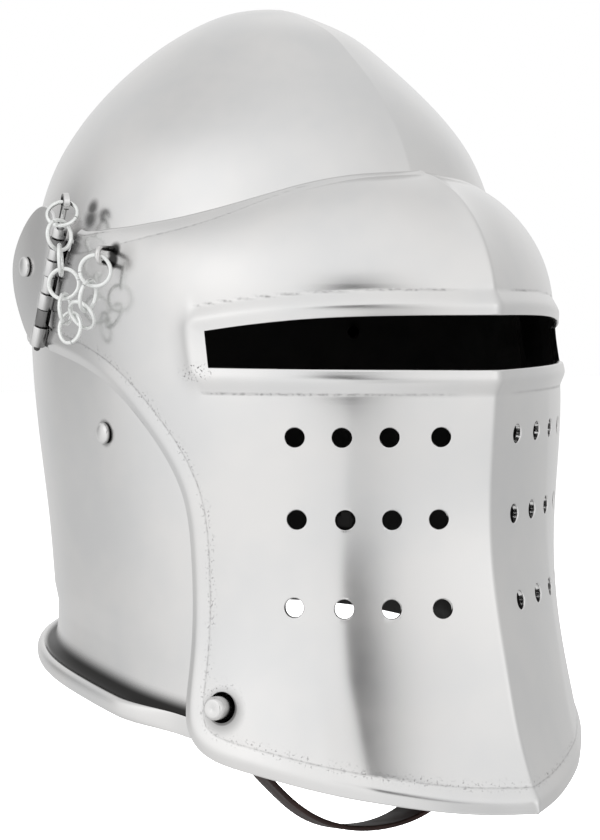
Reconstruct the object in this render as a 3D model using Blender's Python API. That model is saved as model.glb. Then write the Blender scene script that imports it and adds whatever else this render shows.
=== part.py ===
"""Visored bascinet helmet: a keeled steel skull, a lifting visor on two pivots, hinge pins kept by
chains, a sprung locking peg and a leather chin strap. The face looks towards -Y, the wearer's right
is -X, and the origin is where the crown of the head bears. Lengths below are in millimetres."""

import math

import bpy
import numpy as np

MM = 0.001

# Skull
PLATE = 2.0
SKULL_COLUMNS = 22  # facets round one half
SKULL_ROWS = 17
NECK_LINE = -261.0
NECK_TILT = 0.095  # how much the neck line drops towards the front
NECK_ROLL = 0.037  # how much it rises towards the wearer's left
# each station: height, half width, front, rear, middle
SKULL_STATIONS = (
    (17.3, 0.0, 8.0, 8.0, 8.0),
    (15.9, 12.5, -6.0, 20.5, 8.0),
    (11.8, 24.5, -18.5, 34.0, 8.0),
    (3.5, 39.0, -39.0, 51.5, 7.0),
    (-8.0, 53.5, -55.6, 69.0, 6.0),
    (-24.0, 68.5, -74.0, 87.0, 5.0),
    (-45.0, 83.0, -90.7, 100.5, 4.0),
    (-70.0, 92.5, -101.0, 107.5, 3.0),
    (-100.0, 96.0, -112.0, 111.5, 2.0),
    (-130.0, 96.5, -126.0, 112.0, 0.0),
    (-165.0, 94.5, -140.0, 107.0, 0.0),
    (-205.0, 91.5, -152.0, 99.5, 0.0),
    (-261.0, 89.5, -162.0, 92.5, 0.0),
)
# neck rim, each point: height above the neck line, distance outwards
RIM_OUTER = ((17.0, 0.0), (11.0, 0.9), (6.5, 3.0), (3.6, 5.6), (1.6, 7.6), (-0.6, 8.6), (-2.8, 7.8),
             (-3.4, 5.8))
RIM_INNER = ((-2.2, 4.2), (0.8, 2.6), (4.4, 0.2), (9.5, -1.6), (17.0, -2.0))
# edge of the face opening seen from the side: front-to-back place, height
FACE_EDGE = ((-97.0, -93.0), (-83.0, -96.0), (-71.0, -104.0), (-65.5, -119.0), (-69.0, -140.0),
             (-79.0, -165.0), (-88.0, -200.0), (-96.0, -232.0), (-107.0, -262.0), (-112.0, -300.0))

# Visor
VISOR_PLATE = 2.0
EDGE_ROLL = 1.1  # extra thickness along the lower and rear edge
SLOT_LEVEL = -112.0
# each station: height, keel, half width, keel sharpness, cheek fullness
VISOR_STATIONS = (
    (-100.0, -147.0, 100.5, 1.0, 2.95),
    (-112.0, -148.5, 100.5, 1.0, 3.0),
    (-122.0, -148.9, 100.3, 1.0, 3.05),
    (-133.0, -148.8, 99.8, 1.0, 3.3),
    (-154.0, -147.3, 98.2, 1.0, 3.6),
    (-179.0, -145.8, 95.7, 1.0, 3.7),
    (-198.0, -146.7, 94.2, 1.0, 3.65),
    (-222.0, -151.2, 93.2, 1.0, 3.55),
    (-243.0, -157.0, 94.5, 0.97, 3.55),
    (-264.0, -163.4, 97.5, 0.94, 3.6),
    (-290.0, -176.4, 98.5, 0.9, 3.6),
)
# each column from the keel to the hinge: share, top edge (place, height), place at the slot level,
# lower and rear edge (place, height), how far the column sways forwards between them
VISOR_COLUMNS = (
    (0.00, -100.3, -57.2, -148.5, -176.0, -288.2, 0.0),
    (0.10, -95.6, -58.6, -139.5, -162.1, -288.4, 2.0),
    (0.20, -88.6, -61.6, -129.0, -146.2, -286.0, 5.0),
    (0.30, -79.0, -66.6, -115.5, -129.5, -282.8, 9.0),
    (0.40, -68.0, -71.2, -100.0, -110.0, -278.7, 14.0),
    (0.46, -61.0, -73.3, -89.0, -98.5, -276.7, 17.0),
    (0.50, -56.0, -74.5, -82.0, -89.9, -274.5, 19.0),
    (0.54, -50.5, -75.5, -76.0, -82.0, -269.6, 20.0),
    (0.58, -45.0, -76.3, -70.0, -77.2, -261.0, 21.0),
    (0.63, -38.5, -77.2, -62.0, -75.2, -243.0, 21.0),
    (0.70, -30.5, -77.8, -52.0, -74.6, -206.0, 19.0),
    (0.78, -23.0, -78.3, -42.0, -71.9, -176.7, 17.0),
    (0.85, -17.0, -78.6, -30.0, -58.0, -156.0, 12.0),
    (0.92, -12.5, -78.4, -14.0, -31.0, -138.1, 5.0),
    (1.00, -8.0, -77.2, 8.3, 14.3, -127.2, 0.0),
)
VISOR_WIDE = 24  # facets from the keel to the hinge
VISOR_UPPER = (0.0, 0.25, 0.5, 0.74, 0.9)
VISOR_LOWER = (0.0, 0.04, 0.12, 0.165, 0.22, 0.33, 0.45, 0.58, 0.7, 0.82, 0.92, 0.975, 1.0)
SLOT_HALF = 84.4
SLOT_TOP = (-112.1, -117.8)  # at the keel, at the ends
SLOT_BOTTOM = (-131.6, -131.1)
FRAME_RAISE = 2.2
FRAME_WIDE = 9.5
HOLE = 7.0
HOLE_ROWS = ((-155.9, (17.8, 34.5, 49.1, 62.6)), (-185.8, (17.7, 32.9, 47.3, 61.2)),
             (-217.8, (18.3, 34.4, 48.5, 62.3)))  # height, distances from the keel

# Pivots, hinges and pins
PIVOT = (31.5, -92.4)
PIVOT_PLATE_X = 99.3
PIVOT_PLATE_THICK = 1.8
PLATE_OUTLINE = ((6.5, -71.6), (13.0, -68.6), (20.0, -68.8), (27.5, -71.8), (35.0, -77.0),
                 (41.0, -83.2), (45.0, -91.0), (44.8, -99.5), (41.6, -107.5), (36.8, -114.8),
                 (31.5, -120.6), (27.0, -123.6))
HINGE_TOP = (-3.4, -77.6)
HINGE_FOOT = (18.6, -124.4)
HINGE_X = 102.4
KNUCKLE = 3.4  # rolled from the visor
KNUCKLE_SMALL = 2.9  # rolled from the pivot plate, beside slots in the visor
HINGE_SLOT = 6.2
PIN = 1.35
KNUCKLES = (0.0, 0.085, 0.17, 0.265, 0.40, 0.545, 0.68, 0.825, 1.0)
# name, place, height, radius and thickness of the head
RIVET_HEADS = (("side_rivet", -25.2, -158.0, 4.2, 2.9), ("rear_rivet", 60.0, -121.0, 3.0, 2.0))

# Locking peg
PEG_PLACE = (-92.3, -255.2)
PEG_AXIS = (-0.876, -0.467, 0.12)
PEG = 4.3
PEG_HOLE = 5.7

EYE_UP = 11.0
EYE_AXIS = (0.972, -0.233, 0.0)
STAPLE = (-98.6, -38.3, -89.5)
STAPLE_OUT = 6.6
STAPLE_HALF = 2.9
STAPLE_LEAN = 0.35  # how far it leans forwards for each millimetre it stands out

# Chain of the wearer's-right side, from the pin to the staple: centre and facing of each ring
RING = 5.85
WIRE = 0.8
RINGS = (
    ((-104.9, -10.2, -72.6), (-0.48, -0.66, 0.57)),
    ((-107.7, -13.3, -81.1), (0.23, -0.97, 0.07)),
    ((-108.1, -14.8, -90.8), (0.86, -0.51, 0.05)),
    ((-108.2, -17.8, -100.0), (-0.60, -0.80, 0.08)),
    ((-108.1, -18.9, -109.7), (0.66, -0.75, 0.06)),
    ((-108.8, -24.2, -116.9), (-0.95, -0.29, 0.14)),
    ((-107.5, -31.9, -112.0), (0.82, 0.25, 0.51)),
    ((-107.3, -36.6, -104.8), (0.54, -0.82, -0.18)),
    ((-104.9, -38.1, -95.3), (-0.59, -0.81, 0.00)),
)

# Strap
STRAP_WIDE = 20.0
STRAP_THICK = 2.0
# beside the skull: steps back and down from the rivet, gap to the wall
STRAP_LINE = ((0.0, 9.0, 0.9), (0.0, 0.0, 0.8), (-1.0, -16.0, 1.2), (-4.0, -36.0, 2.2), (-9.0, -58.0, 4.0),
              (-18.0, -80.0, 7.0))
# below the neck line
STRAP_UNDER = ((67.0, -55.5, -260.0), (58.0, -63.0, -278.0), (46.0, -68.5, -294.5), (30.5, -72.0, -308.5),
               (14.5, -73.5, -315.0), (0.0, -74.0, -316.5))


def hermite(table, at, column):
    """A smooth curve through one column of a table, against its first column."""
    rows = sorted(table)
    keys = [row[0] for row in rows]
    values = [row[column] for row in rows]
    at = min(max(at, keys[0]), keys[-1])
    i = min(max(int(np.searchsorted(keys, at)) - 1, 0), len(keys) - 2)
    step = keys[i + 1] - keys[i]

    def slope(k):
        low = max(k - 1, 0)
        high = min(k + 1, len(keys) - 1)
        return (values[high] - values[low]) / (keys[high] - keys[low])

    t = (at - keys[i]) / step
    a = values[i] * (2 * t**3 - 3 * t**2 + 1) + values[i + 1] * (3 * t**2 - 2 * t**3)
    return a + step * (slope(i) * (t**3 - 2 * t**2 + t) + slope(i + 1) * (t**3 - t**2))


def blend(low, high, value):
    t = min(max((value - low) / (high - low), 0.0), 1.0)
    return t * t * (3 - 2 * t)


def material(name, colour, roughness, metallic):
    made = bpy.data.materials.new(name)
    made.use_nodes = True
    shader = made.node_tree.nodes["Principled BSDF"]
    shader.inputs["Base Color"].default_value = (*colour, 1.0)
    shader.inputs["Roughness"].default_value = roughness
    shader.inputs["Metallic"].default_value = metallic
    made.diffuse_color = (*colour, 1.0)
    return made


def mesh_object(name, points, faces, look, smooth=True):
    """A mesh object from points in millimetres."""
    mesh = bpy.data.meshes.new(name)
    mesh.from_pydata([tuple(float(c) * MM for c in p) for p in points], [], faces)
    mesh.validate()
    made = bpy.data.objects.new(name, mesh)
    bpy.context.scene.collection.objects.link(made)
    if look:
        mesh.materials.append(look)
    for polygon in mesh.polygons:
        polygon.use_smooth = smooth
    return made


def cut(target, cutter):
    """Takes the cutter away from the target and keeps the result as plain mesh."""
    cutter.hide_render = True
    cutter.display_type = "WIRE"
    modifier = target.modifiers.new("cut", "BOOLEAN")
    modifier.operation = "DIFFERENCE"
    modifier.solver = "EXACT"
    modifier.object = cutter
    apply(target)
    bpy.data.objects.remove(cutter, do_unlink=True)


def join(target, other):
    modifier = target.modifiers.new("join", "BOOLEAN")
    modifier.operation = "UNION"
    modifier.solver = "EXACT"
    modifier.object = other
    apply(target)
    bpy.data.objects.remove(other, do_unlink=True)


def apply(target):
    graph = bpy.context.evaluated_depsgraph_get()
    graph.update()
    mesh = bpy.data.meshes.new_from_object(target.evaluated_get(graph))
    target.modifiers.clear()
    old = target.data
    target.data = mesh
    bpy.data.meshes.remove(old)


def basis(axis, near=(0.0, 0.0, 1.0)):
    """Two directions square to an axis."""
    axis = np.array(axis, float) / np.linalg.norm(axis)
    near = np.array(near, float)
    if abs(axis @ near) > 0.95:
        near = np.array((0.0, 1.0, 0.0))
    side = np.cross(axis, near)
    side /= np.linalg.norm(side)
    return side, np.cross(side, axis), axis


def turned(name, base, axis, profile, look, sides=14):
    """A turned solid: the profile is (distance along the axis, radius) from foot to tip."""
    side, up, axis = basis(axis)
    base = np.array(base, float)
    points = [base + axis * profile[0][0]]
    for along, radius in profile:
        for k in range(sides):
            angle = 2 * math.pi * k / sides
            points.append(base + axis * along + radius * (math.cos(angle) * side + math.sin(angle) * up))
    points.append(base + axis * profile[-1][0])
    last = len(points) - 1
    faces = []
    for k in range(sides):
        after = (k + 1) % sides
        faces.append((0, 1 + after, 1 + k))
        for ring in range(len(profile) - 1):
            low = 1 + ring * sides
            faces.append((low + k, low + after, low + sides + after, low + sides + k))
        top = 1 + (len(profile) - 1) * sides
        faces.append((last, top + k, top + after))
    made = mesh_object(name, points, faces, look)
    face_out(made)
    return made


def face_out(made):
    """Turns every face outwards on a closed mesh."""
    mesh = made.data
    corners = np.array([tuple(v.co) for v in mesh.vertices])
    volume = 0.0
    for polygon in mesh.polygons:
        ids = list(polygon.vertices)
        for k in range(1, len(ids) - 1):
            volume += float(np.linalg.det(corners[[ids[0], ids[k], ids[k + 1]]]))
    if volume < 0:
        mesh.flip_normals()


def swept(name, path, wide, thick, look, across=None, closed=False, sides=None):
    """A band or a wire along a path: a rectangle of wide by thick, or a circle if sides is given."""
    path = np.array(path, float)
    count = len(path)
    points = []
    for i in range(count):
        if closed:
            along = path[(i + 1) % count] - path[i - 1]
        else:
            along = path[min(i + 1, count - 1)] - path[max(i - 1, 0)]
        along /= np.linalg.norm(along)
        side = np.array(across[i] if across is not None else (0, 0, 1), float)
        side = side - along * (side @ along)
        side /= np.linalg.norm(side)
        up = np.cross(along, side)
        if sides:
            for k in range(sides):
                angle = 2 * math.pi * k / sides
                points.append(path[i] + wide * (math.cos(angle) * side + math.sin(angle) * up))
        else:
            for a, b in ((-1, -1), (1, -1), (1, 1), (-1, 1)):
                points.append(path[i] + side * a * wide / 2 + up * b * thick / 2)
    n = sides or 4
    faces = []
    for i in range(count if closed else count - 1):
        j = (i + 1) % count
        for k in range(n):
            m = (k + 1) % n
            faces.append((i * n + k, i * n + m, j * n + m, j * n + k))
    if not closed:
        faces.append(tuple(range(n))[::-1])
        faces.append(tuple((count - 1) * n + k for k in range(n)))
    made = mesh_object(name, points, faces, look, smooth=bool(sides))
    face_out(made)
    return made


def prism(name, outline, low, high, axis="x"):
    """A straight block with the given outline, run along x or along y."""
    points = []
    for place in (low, high):
        for a, b in outline:
            points.append((place, a, b) if axis == "x" else (a, place, b))
    n = len(outline)
    faces = [tuple(range(n)), tuple(range(2 * n - 1, n - 1, -1))]
    for k in range(n):
        m = (k + 1) % n
        faces.append((k, k + n, m + n, m))
    made = mesh_object(name, points, faces, None)
    face_out(made)
    return made


def skull_powers(z):
    """How the front of a level section is curved: a keeled oval above, straighter cheeks below."""
    t = blend(-60.0, -130.0, z)
    oval = 1.65 + 0.2 * blend(0.0, -50.0, z)
    return oval + (1.0 - oval) * t, oval + (3.2 - oval) * t


def skull_share(z):
    stations = sorted((-row[0], i) for i, row in enumerate(SKULL_STATIONS))
    keys = [s[0] for s in stations]
    return float(np.interp(-z, keys, range(len(keys))))


def skull_at(share, angle):
    """A point of the outer surface at a share of the stations; angle 0 is the front, pi the rear."""
    table = [(float(i), *row) for i, row in enumerate(SKULL_STATIONS)]
    z, wide, front, rear, middle = (hermite(table, share, k) for k in range(1, 6))
    c = math.cos(angle)
    if c >= 0:
        power, cheek = skull_powers(z)
        x = wide * max(1 - c**cheek, 0.0) ** (1 / power)
        y = middle + (front - middle) * c
    else:
        x = wide * abs(math.sin(angle)) ** (2 / 2.3)
        y = middle + (rear - middle) * abs(c) ** (2 / 2.3)
    return np.array((x, y, z))


def skull_x(y, z):
    """Half width of the outer surface at a place and height."""
    angles = np.linspace(0.02, math.pi - 0.02, 120)
    share = skull_share(z)
    found = np.array([skull_at(share, a) for a in angles])
    return float(np.interp(y, found[:, 1], found[:, 0]))


def neck_drop(point):
    """Tilts the lower skull so that the neck line drops towards the front."""
    share = blend(-165.0, NECK_LINE, point[2])
    return point + np.array((0.0, 0.0, share * (NECK_TILT * point[1] + NECK_ROLL * (point[0] + 95.0))))


def grid_normals(grid, wrap):
    """Outward directions on a grid of points [row][column]."""
    rows = np.gradient(grid, axis=0)
    if wrap:
        columns = np.roll(grid, -1, axis=1) - np.roll(grid, 1, axis=1)
    else:
        columns = np.gradient(grid, axis=1)
    normal = np.cross(rows, columns)
    normal /= np.linalg.norm(normal, axis=2, keepdims=True) + 1e-12
    return normal


def full_angles():
    """Angles round the whole skull, closer together at the front."""
    half = [math.pi * (k / SKULL_COLUMNS) for k in range(SKULL_COLUMNS + 1)]
    return half + [-a for a in half[-2:0:-1]]


def skull_grid():
    angles = full_angles()
    last = len(SKULL_STATIONS) - 1
    grid = []
    for i in range(1, SKULL_ROWS + 1):
        share = last * (i / SKULL_ROWS) ** 0.92
        row = []
        for angle in angles:
            p = skull_at(share, abs(angle))
            if angle < 0:
                p[0] = -p[0]
            row.append(neck_drop(p))
        grid.append(row)
    return np.array(grid)


def skull_shell(look):
    outer = skull_grid()
    normal = grid_normals(outer, True)
    if normal[3, SKULL_COLUMNS // 2, 0] * outer[3, SKULL_COLUMNS // 2, 0] < 0:
        normal = -normal
    inner = outer - normal * PLATE
    flat = normal[-1] * np.array((1.0, 1.0, 0.0))
    flat /= np.linalg.norm(flat, axis=1, keepdims=True)
    keep = [i for i in range(len(outer)) if outer[i, :, 2].mean() > NECK_LINE + 25.5]
    rows = [outer[i] for i in keep]
    edge = outer[-1]
    fade = np.array([0.12 + 0.88 * blend(-66.0, -36.0, p[1]) for p in edge])[:, None]
    for height, out in RIM_OUTER:
        rows.append(edge + flat * out * fade + np.array((0.0, 0.0, height)))
    for height, out in RIM_INNER:
        shift = flat * (out + PLATE) * fade - flat * PLATE
        rows.append(edge + shift + np.array((0.0, 0.0, height)))
    for i in reversed(keep):
        if i % 2 == 0 or i < 5:
            rows.append(inner[i])
    rows = np.array(rows)
    count = rows.shape[1]
    crown = np.array((0.0, SKULL_STATIONS[0][4], SKULL_STATIONS[0][0]))
    points = [crown] + [p for row in rows for p in row] + [crown - np.array((0, 0, PLATE))]
    last = len(points) - 1
    faces = []
    for k in range(count):
        m = (k + 1) % count
        faces.append((0, 1 + m, 1 + k))
        for r in range(len(rows) - 1):
            low = 1 + r * count
            faces.append((low + k, low + m, low + count + m, low + count + k))
        low = 1 + (len(rows) - 1) * count
        faces.append((last, low + k, low + m))
    made = mesh_object("skull", points, faces, look)
    face_out(made)
    return made


def face_opening():
    outline = [(-260.0, -93.0)] + list(FACE_EDGE) + [(-260.0, -300.0)]
    return prism("face_opening", outline, -150.0, 150.0)


def skull_places():
    """Where the rivets of the skull sit on its wearer's-right side: place and outward direction."""
    places = []
    for name, y, z, radius, thick in RIVET_HEADS:
        x = skull_x(y, z)
        slope = (skull_x(y + 2, z) - skull_x(y - 2, z)) / 4
        out = np.array((1.0, -slope, 0.0))
        places.append((name, np.array((x, y, z)), out / np.linalg.norm(out), radius, thick))
    return places


def skull(look):
    made = skull_shell(look)
    cut(made, face_opening())
    for sign in (-1, 1):
        flip = np.array((sign, 1, 1))
        for name, place, out, radius, thick in skull_places():
            start = (place - out * 8) * flip
            hole = turned("hole", start, out * flip, ((0, 1.8), (14, 1.8)), None, 12)
            cut(made, hole)
        x = skull_x(*PIVOT)
        hole = turned("hole", ((x - 8) * sign, *PIVOT), (sign, 0, 0), ((0, 2.8), (16, 2.8)), None, 12)
        cut(made, hole)
    centre, axis = peg_line()
    hole = turned("hole", centre - axis * 16, axis, ((0, PEG + 0.35), (28, PEG + 0.35)), None, 20)
    cut(made, hole)
    return made


def visor_at(share, z):
    """A point of the plain outer surface below the slot level; share 1 is the keel, 0 the side."""
    keel = hermite(VISOR_STATIONS, z, 1)
    wide = hermite(VISOR_STATIONS, z, 2)
    sharp = hermite(VISOR_STATIONS, z, 3)
    full = hermite(VISOR_STATIONS, z, 4)
    x = wide * max(1 - max(share, 0.0) ** full, 0.0) ** (1 / sharp)
    return np.array((x, keel * share, z))


def visor_plain(u, v):
    """A point of the plain outer surface; u runs from the keel to the hinge, v from -1 at the top
    edge through 0 at the slot level to 1 at the lower edge."""
    top_y, top_z, mid_y, low_y, low_z, sway = (hermite(VISOR_COLUMNS, u, k) for k in range(1, 7))
    mid_share = mid_y / hermite(VISOR_STATIONS, SLOT_LEVEL, 1)
    if v >= 0:
        low_share = low_y / hermite(VISOR_STATIONS, low_z, 1)
        z = SLOT_LEVEL + (low_z - SLOT_LEVEL) * v
        forward = sway * math.sin(math.pi * v) / -hermite(VISOR_STATIONS, z, 1)
        return visor_at(mid_share + (low_share - mid_share) * v + forward, z)
    middle = visor_at(mid_share, SLOT_LEVEL)
    x = 0.0
    if u > 0:
        x = skull_x(top_y + 1.2, top_z) + 2.8 + 1.0 * blend(-60.0, 0.0, top_y)
    top = np.array((x, top_y, top_z))
    q = 1 + v
    level = math.sin(math.pi / 2 * q)
    drop = 0.2 * q + 0.8 * (1 - math.cos(math.pi / 2 * q))
    point = top + (middle - top) * level
    point[2] = top[2] + (middle[2] - top[2]) * drop
    return point


def slot_limits(x):
    t = min(abs(x) / SLOT_HALF, 1.0)
    top = SLOT_TOP[0] + (SLOT_TOP[1] - SLOT_TOP[0]) * t ** 4  # it drops mostly near the ends
    bottom = SLOT_BOTTOM[0] + (SLOT_BOTTOM[1] - SLOT_BOTTOM[0]) * t
    return top, bottom


def frame_height(point):
    """How far the frame of the eye slot stands out at a point of the plain surface."""
    top, bottom = slot_limits(point[0])
    high = max(point[2] - top, bottom - point[2], 0.0)
    past = max(abs(point[0]) - SLOT_HALF, 0.0) * 1.9
    return FRAME_RAISE * (1 - blend(0.35 * FRAME_WIDE, FRAME_WIDE, math.hypot(high, past)))


def visor_grid():
    heights = [q - 1 for q in VISOR_UPPER] + list(VISOR_LOWER)
    half = []
    for v in heights:
        half.append([visor_plain(i / VISOR_WIDE, v) for i in range(VISOR_WIDE + 1)])
    half = np.array(half)
    mirrored = half[:, :0:-1] * np.array((-1.0, 1.0, 1.0))
    grid = np.concatenate([mirrored, half], axis=1)
    raised = np.array([[frame_height(p) for p in row] for row in grid])
    return grid + visor_normals(grid) * raised[:, :, None]


def visor_normals(grid):
    """Outward directions on the visor's grid, with none leaning off its middle plane."""
    normal = grid_normals(grid, False)
    if normal[len(grid) // 2, VISOR_WIDE, 1] > 0:
        normal = -normal
    normal[:, VISOR_WIDE, 0] = 0.0
    return normal / np.linalg.norm(normal, axis=2, keepdims=True)


def visor_shell(look):
    outer = visor_grid()
    rows, columns = outer.shape[:2]
    thick = np.full((rows, columns), VISOR_PLATE)
    thick[-2:, :] += EDGE_ROLL
    inner = outer - visor_normals(outer) * thick[:, :, None]
    points = [p for row in outer for p in row] + [p for row in inner for p in row]
    total = rows * columns
    faces = []
    for r in range(rows - 1):
        for c in range(columns - 1):
            a = r * columns + c
            b = a + columns
            faces.append((a, a + 1, b + 1, b))
            faces.append((total + a, total + b, total + b + 1, total + a + 1))
    for c in range(columns - 1):
        faces.append((c, total + c, total + c + 1, c + 1))
        a = (rows - 1) * columns + c
        faces.append((a, a + 1, total + a + 1, total + a))
    for r in range(rows - 1):
        a = r * columns
        faces.append((a, a + columns, total + a + columns, total + a))
        a += columns - 1
        faces.append((a, total + a, total + a + columns, a + columns))
    made = mesh_object("visor_plate", points, faces, look)
    face_out(made)
    return made


def slot_cutter():
    xs = np.linspace(-SLOT_HALF, SLOT_HALF, 13)
    outline = [(x, slot_limits(x)[0]) for x in xs] + [(x, slot_limits(x)[1]) for x in xs[::-1]]
    return prism("slot", outline, -190.0, -60.0, "y")


def visor_y(x, z):
    """Front-to-back place of the outer surface at a half width and height."""
    keel = hermite(VISOR_STATIONS, z, 1)
    shares = np.linspace(1.0, 0.0, 400)
    widths = [visor_at(s, z)[0] for s in shares]
    return float(np.interp(x, widths, shares * keel))


def visor(look):
    made = visor_shell(look)
    cut(made, slot_cutter())
    for z, places in HOLE_ROWS:
        for x in places:
            y = visor_y(x, z)
            slope = (visor_y(x + 1, z) - visor_y(x - 1, z)) / 2
            out = np.array((slope, -1.0, 0.0))
            out /= np.linalg.norm(out)
            for sign in (-1, 1):
                flip = np.array((sign, 1, 1))
                start = (np.array((x, y, z)) - out * 6) * flip
                cut(made, turned("hole", start, out * flip, ((0, HOLE / 2), (12, HOLE / 2)), None, 12))
    centre, axis = peg_line()
    cut(made, turned("hole", centre - axis * 6, axis, ((0, PEG_HOLE), (12, PEG_HOLE)), None, 20))
    for sign in (-1, 1):
        low = hinge_point(1, sign) - hinge_point(0, sign)
        start = hinge_point(0, sign) - low * 0.15
        wide = KNUCKLE + 0.5
        relief = ((0, wide), (np.linalg.norm(low) * 1.2, wide))
        cut(made, turned("relief", start, low, relief, None, 12))
        for k in (0, 2, 4, 6):
            above = 0.12 if k == 0 else 0.0
            cut(made, tongue(sign, KNUCKLES[k] - above, KNUCKLES[k + 1], -HINGE_SLOT, 90.0, 105.0))
        for k in (1, 3, 5, 7):
            low, high = KNUCKLES[k], KNUCKLES[k + 1]
            join(made, knuckle("knuckle", sign, low, high, KNUCKLE, look))
            join(made, tongue(sign, low + 0.004, high - 0.004, -HINGE_SLOT - 1.4, 98.4, 100.35))
        bore(made, sign)
        for turn in (-1, 1):
            start = (sign * 90.0, STAPLE[1], STAPLE[2] + turn * STAPLE_HALF)
            cut(made, turned("hole", start, (sign, 0, 0), ((0, 1.2), (16, 1.2)), None, 10))
    return made


def hinge_point(share, side=-1):
    y = HINGE_TOP[0] + (HINGE_FOOT[0] - HINGE_TOP[0]) * share
    z = HINGE_TOP[1] + (HINGE_FOOT[1] - HINGE_TOP[1]) * share
    return np.array((side * HINGE_X, y, z))


def knuckle(name, side, low, high, radius, look):
    start = hinge_point(low, side)
    finish = hinge_point(high, side)
    length = np.linalg.norm(finish - start)
    profile = ((0.12, radius - 0.25), (0.4, radius), (length - 0.4, radius), (length - 0.12, radius - 0.25))
    return turned(name, start, finish - start, profile, look, 14)


def tongue(side, low, high, reach, inside, outside):
    """The flat strip that carries one knuckle; reach is how far it runs square to the hinge line."""
    a = hinge_point(low)[1:]
    b = hinge_point(high)[1:]
    square = np.array((a[1] - b[1], b[0] - a[0]))
    square *= reach / np.linalg.norm(square)
    outline = [tuple(a), tuple(b), tuple(b + square), tuple(a + square)]
    return prism("tongue", outline, side * inside, side * outside)


def bore(target, side):
    low = hinge_point(0, side)
    line = hinge_point(1, side) - low
    profile = ((0, PIN + 0.3), (np.linalg.norm(line) * 1.4, PIN + 0.3))
    cut(target, turned("bore", low - line * 0.2, line, profile, None, 14))


def pivot_plate(side, look):
    """The plate on the pivot rivet, with the narrow knuckles rolled from its front edge."""
    foot = hinge_point(1.0)[1:] + np.array((4.2, 0.6))
    top = hinge_point(0.09)[1:] + np.array((4.4, 0.8))
    outline = [tuple(foot), tuple(top)] + list(PLATE_OUTLINE)
    outside = PIVOT_PLATE_X + PIVOT_PLATE_THICK
    made = prism("pivot_plate", outline, side * PIVOT_PLATE_X, side * outside)
    made.data.materials.append(look)
    for k in (0, 2, 4, 6):
        low, high = KNUCKLES[k], KNUCKLES[k + 1]
        join(made, knuckle("knuckle", side, low, high, KNUCKLE_SMALL, look))
        join(made, tongue(side, low + 0.004, high - 0.004, 7.6, PIVOT_PLATE_X + 0.05, outside - 0.05))
    bore(made, side)
    cut(made, turned("hole", (side * 90, *PIVOT), (side, 0, 0), ((0, 2.8), (20, 2.8)), None, 12))
    made.name = "pivot_plate_" + ("right" if side < 0 else "left")
    return made


def dome(radius, height):
    """A round rivet head as a profile."""
    return [(height * math.sin(a), radius * math.cos(a)) for a in np.linspace(0, math.pi / 2 * 0.9, 4)]


def pivot_rivet(side, look):
    x = skull_x(*PIVOT)
    reach = PIVOT_PLATE_X + PIVOT_PLATE_THICK - x + 0.3
    profile = [(-PLATE - 3.2, 3.4), (-PLATE - 2.0, 4.2), (-PLATE - 1.99, 2.5), (reach, 2.5)]
    profile += [(reach + 0.001 + a, b) for a, b in dome(4.2, 2.6)]
    name = "pivot_rivet_" + ("right" if side < 0 else "left")
    return turned(name, (side * x, *PIVOT), (side, 0, 0), profile, look, 14)


def skull_rivets(look):
    for side in (-1, 1):
        flip = np.array((side, 1, 1))
        for name, place, out, radius, thick in skull_places():
            strap = name == "side_rivet"
            under = -PLATE - (STRAP_THICK + 1.3 if strap else 1.1)
            profile = [(under - 1.0, 2.4), (under, 3.0), (under + 0.001, 1.5), (0.3, 1.5)]
            profile += [(0.301, radius - 0.2)] + [(0.3 + thick * 0.5 + a, b) for a, b in dome(radius, thick * 0.5)]
            full = name + ("_right" if side < 0 else "_left")
            turned(full, place * flip, out * flip, profile, look, 18)


def ring(name, centre, facing, look, sides=6, steps=16):
    """One closed ring of a chain."""
    side, up, axis = basis(facing)
    path = []
    for k in range(steps):
        angle = 2 * math.pi * k / steps
        path.append(centre + RING * (math.cos(angle) * side + math.sin(angle) * up))
    return swept(name, path, WIRE, WIRE, look, [axis] * steps, True, sides)


def chain(side, look):
    """The rings that tie a hinge pin to the visor, so that a drawn pin isn't lost."""
    flip = np.array((-side, 1, 1))
    for number, (centre, facing) in enumerate(RINGS, 1):
        name = f"chain_ring_{number}_" + ("right" if side < 0 else "left")
        ring(name, np.array(centre) * flip, np.array(facing) * flip, look)


def hinge_pin(side, look):
    """The pin through the knuckles, with a flat eye on top that holds the chain."""
    name = "hinge_pin_" + ("right" if side < 0 else "left")
    low = hinge_point(1.0, side)
    line = hinge_point(0.0, side) - low
    length = np.linalg.norm(line)
    line = line / length
    profile = [(-2.2, 1.0), (-1.6, PIN), (length + EYE_UP - 2.4, PIN)]
    made = turned(name, low, line, profile, look, 12)
    centre = low + line * (length + EYE_UP)
    axis = np.array(EYE_AXIS) * np.array((-side, 1, 1))
    profile = ((0, 3.1), (0.3, 3.4), (2.5, 3.4), (2.8, 3.1))
    join(made, turned("eye", centre - axis * 1.4, axis, profile, look, 14))
    cut(made, turned("hole", centre - axis * 4, axis, ((0, 1.9), (8, 1.9)), None, 12))
    return made


def staple(side, look):
    """The half loop that stands out of the visor and holds the other end of the chain."""
    name = "staple_" + ("right" if side < 0 else "left")
    x, y, z = STAPLE
    path = [(x + 4.0, y, z + STAPLE_HALF), (x, y, z + STAPLE_HALF)]
    for angle in np.linspace(math.pi / 2, -math.pi / 2, 11):
        out = STAPLE_OUT - 2.4 + 2.4 * math.cos(angle)
        path.append((x - out, y - STAPLE_LEAN * out, z + STAPLE_HALF * math.sin(angle)))
    path += [(x, y, z - STAPLE_HALF), (x + 4.0, y, z - STAPLE_HALF)]
    path = [np.array(p) * np.array((-side, 1, 1)) for p in path]
    return swept(name, path, 0.85, 0.85, look, [(STAPLE_LEAN * side, 1, 0)] * len(path), sides=8)


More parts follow.
